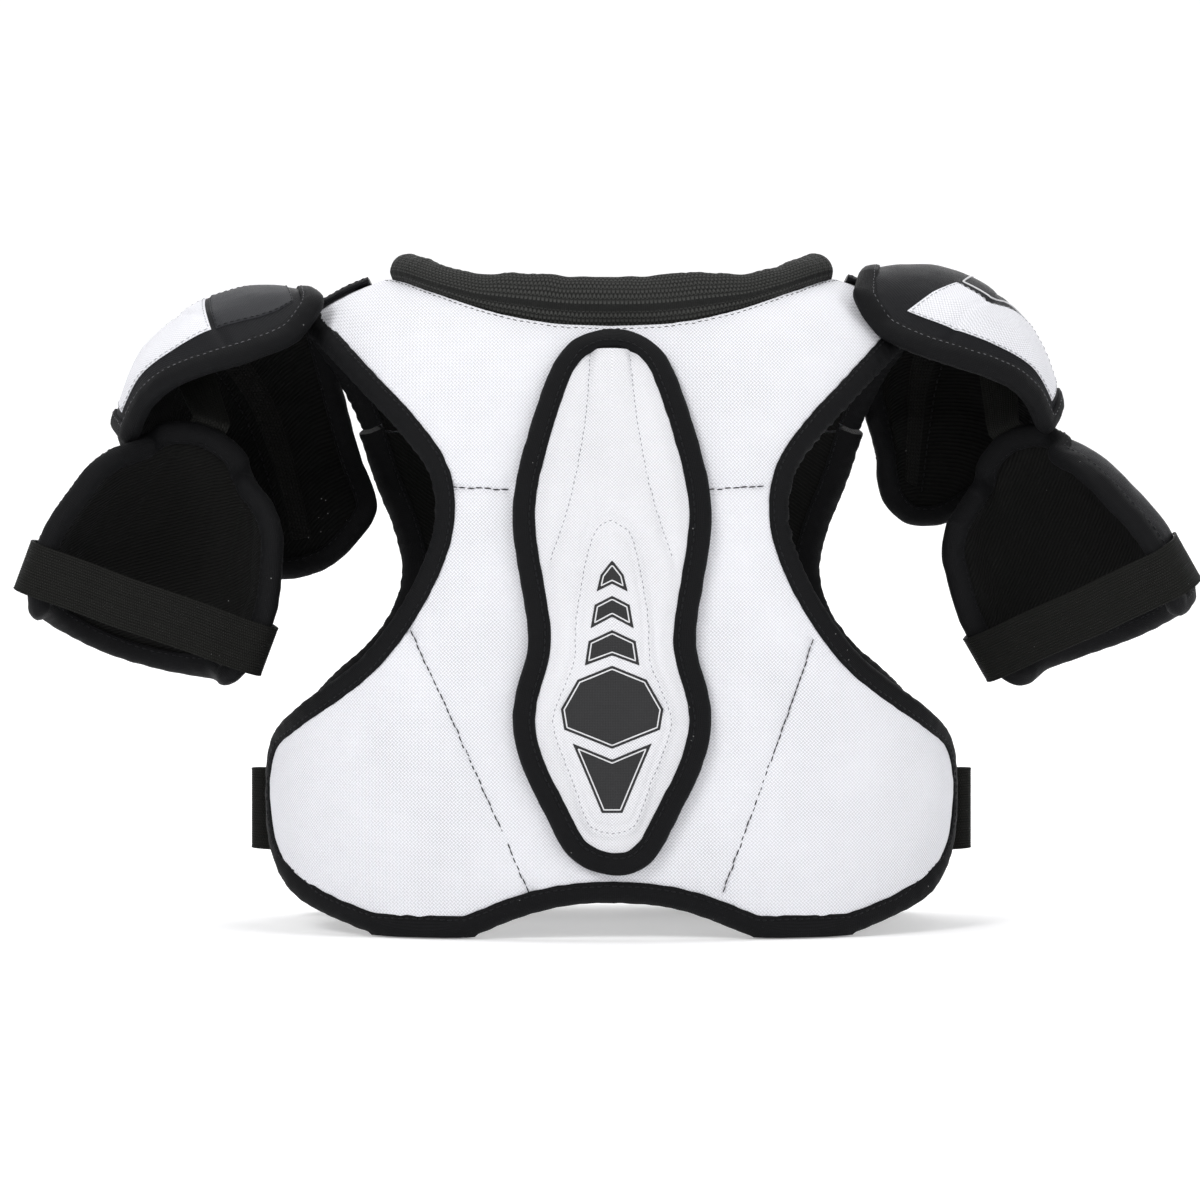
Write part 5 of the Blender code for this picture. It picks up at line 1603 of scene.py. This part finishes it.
CAP_BOX = {  # white outline over the top
    "right": [
        (0.315, 0.40), (0.218, 0.364), (0.205, 0.49), (0.315, 0.745), (0.33, 0.93),
        (0.56, 0.93), (0.56, 0.42), (0.315, 0.40)],
    "left": [(0.34, 0.42), (0.34, 0.93), (0.56, 0.93), (0.56, 0.42), (0.34, 0.42)],
}
CAP_LINING_SEAM = [(0.30, 0.62), (0.45, 0.52), (0.62, 0.44), (0.80, 0.42), (0.97, 0.46)]
CAP_MESH_STRIP = [(0.30, 0.50), (0.45, 0.42), (0.62, 0.34), (0.80, 0.32), (0.96, 0.36)]


def sided(sign, points):
    """Fractions given from the neck side, turned for a grid whose columns run the other way."""
    return [(r, c if sign > 0 else 1 - c) for r, c in points]


def cap_cover(side, sign, grid, up, gap, flat):
    body = f"cap_{side}"
    xyz = np.moveaxis(grid, -1, 0)
    seam = near_any(flat, CAP_COVER_SEAMS, CAP_SIZE)
    height = 3.4 + 1.1 * (1 - np.exp(-gap / 7)) - 0.9 * trough(seam, 2.0)
    height = height + 0.12 * ripple(121, 10.0, *xyz) * (np.exp(-gap / 7) + trough(seam, 5))
    height = height + 0.25 * ripple(122, 34.0, *xyz) * (1 - np.exp(-gap / 12))
    pinned = np.clip(trough(gap, 2.5) + trough(seam, 1.8), 0, 1)
    height = padded(grid, up, height, pinned, seed=8, least=-0.2, most=1.3)
    skin(f"cap_cloth_{side}", grid, up, height, 0.95, "black_cover", body,
         (f"cap_cover_{side}",))
    for k, (slot, *edges) in enumerate(CAP_PATCHES[side]):
        bottom, right, top, left = (sided(sign, line) for line in edges)
        if sign < 0:
            bottom, right, top, left = bottom[::-1], left, top[::-1], right
        panel_patch(f"cap_patch_{side}_{k + 1}", grid, up, (bottom, right, top, left), height,
                    slot, body, count=56)
        outline = bottom + right[1:] + top[::-1][1:] + left[::-1][1:]
        ring = polyline(outline, 260)
        middle = ring.mean(axis=0)
        ring = middle + (ring - middle) * 0.965
        at, off = on_sheet(grid, up, height, ring, extra=0.58)
        thread(f"cap_patch_stitches_{side}_{k + 1}", at, off, body, length=2.4, gap=1.0,
               radius=0.26, seed=131 + k,
               slot="thread_white" if slot == "white_weave" else "thread_black")
    box = polyline(sided(sign, CAP_BOX[side]), 300)
    at, off = on_sheet(grid, up, height, box, extra=0.15)
    trim(f"cap_outline_{side}", at, off, (0.45, -0.3, 0.35, 0.5), body)


def cap_lining(side, sign, grid, up, gap, flat):
    """Lining with its sewn channel; returns how deep it lies."""
    body = f"cap_{side}"
    xyz = np.moveaxis(grid, -1, 0)
    channel = near(flat, fair(np.array(CAP_LINING_SEAM) * CAP_SIZE, 60))
    quilt = 1.5 * (1 - np.exp(-gap / 7)) - 1.3 * trough(channel, 2.2)
    quilt = quilt - 0.4 * trough(channel, 7.0)
    quilt = quilt + 0.15 * ripple(123, 12.0, *xyz) * (1 + 2 * trough(channel, 6))
    quilt = quilt + 0.3 * ripple(124, 40.0, *xyz)
    pinned = np.clip(trough(gap, 2.5) + trough(channel, 1.8), 0, 1)
    low = padded(grid, up, 3.7 + quilt, pinned, seed=9, least=-0.3, most=1.5, face=-1)
    skin(f"cap_lining_{side}", grid, up, -0.95, -low, "black_lining", body,
         (f"cap_liner_{side}",))
    line = fair(sided(sign, CAP_LINING_SEAM), 160)
    at, off = on_sheet(grid, up, -low, line, extra=-0.05)
    thread(f"cap_lining_stitches_{side}_1", at, -off, body, length=2.8, gap=1.2, radius=0.4,
           seed=141)
    return low


def cap_mesh_strip(side, sign, grid, up, low):
    """A strip of openwork laid along the lining."""
    middle = fair(sided(sign, CAP_MESH_STRIP), 110)
    heading = unit(np.gradient(middle * CAP_SIZE, axis=0))
    off = np.stack([-heading[:, 1], heading[:, 0]], axis=1) / CAP_SIZE
    count, half = 14, 6.5
    rc = np.array([middle + off * w for w in np.linspace(-half, half, count)])
    base, base_up = surface_at(grid, rc), unit(surface_at(up, rc))
    lift = surface_at(low[..., None], rc)[..., 0]
    edge = np.minimum(np.arange(count), count - 1 - np.arange(count))[:, None]
    outer = lift + 0.75 * np.clip(edge / 1.5, 0.3, 1)
    if np.sum(normals(base) * -base_up) < 0:
        base, base_up, outer, lift = base[::-1], base_up[::-1], outer[::-1], lift[::-1]
    skin(f"cap_mesh_strip_{side}", base, -base_up, outer, lift - 0.6, "mesh_strip",
         f"cap_{side}")


def tether(side, sign):
    path = fair([(x * sign, TETHER_Y + SHIFT_Y, z) for x, z in TETHER[side]], 60)
    across = np.array([0.0, 1.0, 0.0])
    up = square_to(path, across)
    up *= np.sign(up[:, 2:3])
    body = ("back", f"cap_{side}", path[14], path[46])
    half, high, low = 14.5, 2.6, 1.1
    seam_in = 3.2  # stitches, in from the strap's edge
    x = np.linspace(-half, half, 41)
    edge = 1 - np.abs(x / half) ** 6
    sunk = 0.5 * trough(np.abs(x) - half + seam_in, 0.9)
    top = np.stack([x, 0.5 + (high - 0.5) * edge - sunk], axis=1)
    under = np.stack([x[::-1], -0.3 - (low - 0.3) * edge[::-1]], axis=1)
    sweep(f"cap_tether_strap_{side}", path, across, up, np.concatenate([top, under]),
          "black_cover", body, (f"cap_tether_{side}",), fuzz=0.12, seed=155)
    inner = np.s_[2:-2]
    for k, edge_sign in enumerate((-1, 1)):
        line = path[inner] + across * edge_sign * (half - seam_in) + up[inner] * (high - 0.45)
        thread(f"cap_tether_stitches_{side}_{k + 1}", line, up[inner], body, radius=0.28,
               seed=156 + k)


def cap(side, sign):
    rows, cols = 86, 74
    grid = cap_grid(sign, rows, cols)
    up = normals(grid)
    gap = rim_gap(grid)
    rc = fractions(rows, cols)
    if sign < 0:
        rc[..., 1] = 1 - rc[..., 1]
    flat = rc * CAP_SIZE
    cap_cover(side, sign, grid, up, gap, flat)
    low = cap_lining(side, sign, grid, up, gap, flat)
    cap_mesh_strip(side, sign, grid, up, low)
    rim_tape("cap", side, cap_grid(sign, 9, 8), inner=6.4, low=5.4, seed=151, pale=True)
    tether(side, sign)


# ------------------------------------------------------------ upper-arm guards
# row and column fractions: row 0 is a guard's top edge
GUARD_SEAMS = [
    [(0.0, 0.33), (0.3, 0.30), (0.7, 0.30), (1.0, 0.33)],
    [(0.0, 0.67), (0.3, 0.70), (0.7, 0.70), (1.0, 0.67)],
]
GUARD_PATCHES = [  # material, then bottom, right, top and left edges
    ("white_weave",
     [(0.10, 0.37), (0.08, 0.5), (0.10, 0.63)], [(0.10, 0.63), (0.35, 0.66), (0.60, 0.66)],
     [(0.60, 0.34), (0.66, 0.5), (0.60, 0.66)], [(0.10, 0.37), (0.35, 0.34), (0.60, 0.34)]),
    ("charcoal",
     [(0.66, 0.34), (0.72, 0.5), (0.66, 0.66)], [(0.66, 0.66), (0.8, 0.655), (0.93, 0.64)],
     [(0.93, 0.36), (0.95, 0.5), (0.93, 0.64)], [(0.66, 0.34), (0.8, 0.345), (0.93, 0.36)]),
]
STRAP_A = 90.0  # how far down the guard its strap goes round
# strap and the hook tape on its free end: w, d of the guard's frame
ARM_STRAP = [
    (-60.6, 29), (-64.6, 19), (-66.7, 9), (-67.1, 0), (-65.6, -6.4), (-61.0, -10.2),
    (-54, -11.6), (-40, -12.3), (-20, -13.0), (0, -13.3), (20, -13.1), (36, -12.6),
    (50, -11.9), (57, -11.2), (61.8, -9.2), (65.0, -5.0), (66.6, 1.0), (65.8, 8), (62.9, 15),
    (58.8, 22.5)]
ARM_HOOK = [(64.3, 6.0), (63.0, 10.5), (60.4, 16), (57.3, 21.8)]
ARM_BARS = [(-64.9, 14.0), (-63.2, 22.0)]  # rows of stitches that hold the strap


def guard_cover(side, sign, grid, up, gap, flat):
    body = f"guard_{side}"
    xyz = np.moveaxis(grid, -1, 0)
    seam = near_any(flat, GUARD_SEAMS, GUARD_SIZE)
    height = 3.4 + 1.2 * (1 - np.exp(-gap / 7)) - 0.9 * trough(seam, 2.0)
    height = height + 0.2 * ripple(171, 12.0, *xyz) * (0.3 + np.exp(-gap / 8))
    pinned = np.clip(trough(gap, 2.5) + trough(seam, 1.8), 0, 1)
    height = padded(grid, up, height, pinned, seed=10, least=-0.2, most=1.2)
    if sign < 0:
        from_rest = np.sum((grid - CAP_REST) ** 2, axis=-1)
        height = height - 1.3 * np.exp(-from_rest / (2 * 15.0 ** 2))
    skin(f"guard_cloth_{side}", grid, up, height, 0.95, "black_cover", body,
         (f"guard_cover_{side}",))
    for k, (slot, *edges) in enumerate(GUARD_PATCHES):
        panel_patch(f"guard_patch_{side}_{k + 1}", grid, up, edges, height, slot, body,
                    count=48)
    for k, line in enumerate(GUARD_SEAMS):
        at, off = on_sheet(grid, up, height, fair(line, 140))
        thread(f"guard_seam_stitches_{side}_{k + 1}", at, off, body, length=2.8, radius=0.4,
               seed=173 + k)


def guard_lining(side, grid, up, gap, flat):
    """Lining padded all over, drawn in near the tape and down two faint lines."""
    xyz = np.moveaxis(grid, -1, 0)
    ribs = np.minimum(np.abs(flat[..., 1] - 60), np.abs(flat[..., 1] - 105))
    low = 3.7 + 1.9 * (1 - np.exp(-gap / 8)) - 0.35 * trough(ribs, 5.0)
    low = low + 0.3 * ripple(175, 32.0, *xyz) + 0.22 * ripple(176, 8.0, *xyz) * np.exp(-gap / 6)
    pinned = np.clip(trough(gap, 2.5), 0, 1)
    low = padded(grid, up, low, pinned, seed=12, least=-0.3, most=1.2, face=-1)
    skin(f"guard_lining_{side}", grid, up, -0.95, -low, "black_lining", f"guard_{side}",
         (f"guard_liner_{side}",))


def arm_strap(side, to):
    down = to(0.0, 1.0, 0.0) - to(0.0, 0.0, 0.0)
    line = fair(ARM_STRAP, 300)
    path = to(line[:, 0], STRAP_A, line[:, 1])
    up = square_to(path, down)
    up *= np.sign(np.sum(up * (path - to(0.0, STRAP_A, 14.0)), axis=1))[:, None]
    slump = 0.35 * (0.5 * ripple(161, 45.0, run_of(path)))
    path = path + up * 0.25 * ripple(162, 30.0, run_of(path))[:, None] + down * slump[:, None]
    body = (f"guard_{side}", f"arm_strap_{side}", to(-64.8, STRAP_A, -7.2),
            to(-57.0, STRAP_A, -11.6))
    webbing(f"arm_elastic_{side}", path, down, up, ARM_ELASTIC_W + 0.6, body,
            (f"arm_strap_{side}", f"arm_anchor_{side}"))
    hook = fair(ARM_HOOK, 40)
    path = to(hook[:, 0], STRAP_A, hook[:, 1])
    webbing(f"arm_hook_tape_{side}", path, down, square_to(path, down), ARM_ELASTIC_W - 4,
            f"arm_strap_{side}", (f"arm_hook_{side}",), thick=0.9, slot="hook_loop")
    a = np.linspace(STRAP_A - 12, STRAP_A + 12, 40)
    for k, (w, d) in enumerate(ARM_BARS):
        line = to(w, a, d)
        out = unit(line - to(0.0, a, 16.0))
        thread(f"arm_elastic_bar_{side}_{k + 1}", line + out * 1.6, out, f"guard_{side}",
               length=1.6, gap=0.5, radius=0.34, seed=165 + k)


def link(side, sign, to):
    """Elastic from the guard's top edge up to the inside of the cap."""
    sheet = cap_grid(sign, 9, 8)
    i, j = LINK_HEAD
    j = j if sign > 0 else sheet.shape[1] - 1 - j
    head = sheet[i, j] - normals(sheet)[i, j] * 5.0
    slope = unit(sheet[i, j + 1] - sheet[i, j - 1])
    width = unit(to(1.0, 0.0, 0.0) - to(0.0, 0.0, 0.0))
    if slope @ width < 0:
        slope = -slope
    rim = to(0.0, -12.0, 26.5)
    rise = head - rim
    points, across = [to(0.0, -3.2, 29.6), to(0.0, -6.5, 28.4), rim], [width] * 3
    for share in (0.25, 0.5, 0.75, 1.0):
        points.append(rim + rise * share)
        across.append(width * (1 - share) + slope * share)
    frames = fair(np.hstack([np.array(points), np.array(across) * 2]), 120)
    path, across = frames[:, :3], unit(frames[:, 3:])
    heading = unit(np.gradient(path, axis=0))
    across = unit(across - heading * np.sum(across * heading, axis=1)[:, None])
    up = square_to(path, across)
    lower = (f"arm_link_{side}", f"guard_{side}", rim + rise * 0.22, rim)
    upper = (f"arm_link_{side}", f"cap_{side}", rim + rise * 0.62, head)
    cut = 70  # the sample where the two parts meet
    for part, piece, body, replaces in (
        ("lower", np.s_[: cut + 1], lower, (f"arm_link_{side}",)),
        ("upper", np.s_[cut:], upper, ()),
    ):
        webbing(f"arm_link_{part}_{side}", path[piece], across[piece], up[piece], 20.0, body,
                replaces)


def guard(side, sign):
    to = guard_frame(GUARDS[side], sign)
    rows, cols = 78, 96
    grid = guard_grid(to, rows, cols)
    up = normals(grid)
    gap = rim_gap(grid)
    flat = fractions(rows, cols) * GUARD_SIZE
    guard_cover(side, sign, grid, up, gap, flat)
    guard_lining(side, grid, up, gap, flat)
    rim_tape("guard", side, guard_grid(to, 8, 9), inner=6.2, low=5.9, seed=181)
    arm_strap(side, to)
    link(side, sign, to)


# ------------------------------------------------------------ side straps
SIDE_STRAP_Z = 59.0
# plan of the strap from where it leaves the back panel, and of its tapes: x, y
SIDE_STRAP = [
    (178.5, -3.6), (184.6, -3.3), (188.2, -1.6), (189.4, 1.8), (186.5, 7), (178, 13),
    (169, 18), (165.2, 24), (163.7, 31), (163.7, 40), (163.7, 50)]
SIDE_HOOK = [(162.3, 28.5), (162.3, 34), (162.3, 43)]
SIDE_LOOP = [(161.2, 12), (161.2, 22), (161.2, 34)]


def strap_anchor():
    """Plan of the strap's end sewn inside the back panel: x, y."""
    at = round_of(BACK_PLAN, 171.4) + np.array([-15.0, -8.0, -1.0, 6.0, 12.0])
    x, y = along(BACK_PLAN, at)
    next_x, next_y = along(BACK_PLAN, at + 0.5)
    inwards = unit(np.stack([-(next_y - y), next_x - x], axis=1))
    if inwards[0, 0] > 0:
        inwards = -inwards
    return np.stack([x, y], axis=1) + inwards * (COVER_AT + GAP + 1.9 + ELASTIC_T / 2)


def side_strap(side, sign):
    upright = np.array([0.0, 0.0, 1.0])

    def strip(points, samples):
        x, y = fair(points, samples).T
        path = np.stack([x * sign, y + SHIFT_Y, np.full(samples, SIDE_STRAP_Z)], axis=1)
        return path, upright, square_to(path, upright)

    path, across, up = strip([*strap_anchor(), *SIDE_STRAP], 220)
    path = path + across * (0.3 * ripple(191, 40.0, run_of(path)))[:, None]
    body = ("back", f"side_strap_{side}", (184.0 * sign, -8 + SHIFT_Y, SIDE_STRAP_Z),
            (187.0 * sign, SHIFT_Y, SIDE_STRAP_Z))
    webbing(f"side_elastic_{side}", path, across, up, SIDE_ELASTIC_W + 0.4, body,
            (f"side_anchor_{side}", f"side_strap_{side}"))
    webbing(f"side_hook_tape_{side}", *strip(SIDE_HOOK, 30), SIDE_ELASTIC_W - 5,
            f"side_strap_{side}", (f"side_hook_{side}",), thick=0.8, slot="hook_loop")
    webbing(f"loop_tape_{side}", *strip(SIDE_LOOP, 40), SIDE_ELASTIC_W - 2, "chest",
            (f"loop_patch_{side}",), thick=0.8, slot="hook_loop")


def kept_plates():
    """Pieces still shown from the frame keep their shape and get the plate material."""
    for obj in frame["nodes"].values():
        if not obj.hide_render:
            for k in range(len(obj.data.materials)):
                obj.data.materials[k] = material("plastic_plate")
            if not obj.data.materials:
                obj.data.materials.append(material("plastic_plate"))


# ------------------------------------------------------------ floor, light and camera (m)
FLOOR_DROP = 0.0006  # floor below z = 0
BEND_Y, BEND_R = 1.6, 1.4  # where the floor starts curving up into the wall, and its radius
AIM = (0, 0, 0.18)
LAMPS = [  # name, place, aim, size, watts
    ("key", (-1.3, -1.9, 1.7), AIM, (0.9, 0.9), 33),
    ("fill", (1.6, -1.7, 0.8), AIM, (1.4, 1.4), 14),
    ("top", (0.1, 0.3, 1.9), (0, 0, 0.2), (1.6, 1.2), 19),
    ("rear", (0.3, 2.2, 1.1), (0, 0, 0.2), (1.8, 1.2), 12),
]


def world():
    scene = bpy.context.scene
    scene.view_settings.view_transform = "Standard"
    scene.world = bpy.data.worlds.new("studio")
    scene.world.use_nodes = True
    background = scene.world.node_tree.nodes["Background"]
    background.inputs["Color"].default_value = (1.0, 1.0, 1.0, 1)
    background.inputs["Strength"].default_value = 0.475


def backdrop():
    """Paper floor that curves up into a wall behind the chest."""
    profile = [(-6.0, 0.0), (BEND_Y, 0.0)]
    for angle in np.linspace(0, math.pi / 2, 24)[1:]:
        profile.append((BEND_Y + BEND_R * math.sin(angle), BEND_R - BEND_R * math.cos(angle)))
    profile.append((BEND_Y + BEND_R, 6.0))
    verts = [(x, y, z - FLOOR_DROP) for y, z in profile for x in (-9.0, 9.0)]
    mesh = bpy.data.meshes.new("studio_floor")
    mesh.from_pydata(
        verts, [], [(2 * k, 2 * k + 1, 2 * k + 3, 2 * k + 2) for k in range(len(profile) - 1)])
    mesh.shade_smooth()
    floor = bpy.data.objects.new("studio_floor", mesh)
    bpy.context.scene.collection.objects.link(floor)
    paper = Shading("studio_paper", rough=0.95, spec=0.1)
    paper.set("Emission Color", (1, 1, 1, 1))
    paper.set("Emission Strength", 0.24)
    grain = paper.noise(40.0)
    tones = (0.90, 0.90, 0.91, 1.0), (0.94, 0.94, 0.945, 1.0)
    paper.set("Base Color", paper.mix(grain, *tones))
    mesh.materials.append(paper.mat)


def lamp(name, at, aim, size, power):
    data = bpy.data.lights.new(name, "AREA")
    data.shape = "RECTANGLE"
    data.size, data.size_y = size
    data.energy = power
    obj = bpy.data.objects.new(name, data)
    bpy.context.scene.collection.objects.link(obj)
    obj.location = at
    obj.rotation_mode = "QUATERNION"
    toward = mathutils.Vector(np.array(aim, float) - np.array(at, float))
    obj.rotation_quaternion = toward.to_track_quat("-Z", "Y")


def camera():
    """Looks level along +y at the back panel."""
    data = bpy.data.cameras.new("camera")
    data.sensor_width = 36
    data.lens = 108
    data.clip_start = 0.1
    data.clip_end = 50
    obj = bpy.data.objects.new("camera", data)
    bpy.context.scene.collection.objects.link(obj)
    obj.location = (-0.006, -1.9, 0.169)
    obj.rotation_euler = (math.radians(90), 0, 0)
    bpy.context.scene.camera = obj


back_grid = back_panel()
chest_grid = chest_panel()
spine_pad()
sternum_pad()
collar(back_grid, {sign: yoke(side, sign) for side, sign in SIDES})
collar_front(chest_grid)
for piece in (cap, guard, side_strap):
    for side, sign in SIDES:
        piece(side, sign)
kept_plates()

world()
backdrop()
for row in LAMPS:
    lamp(*row)
camera()
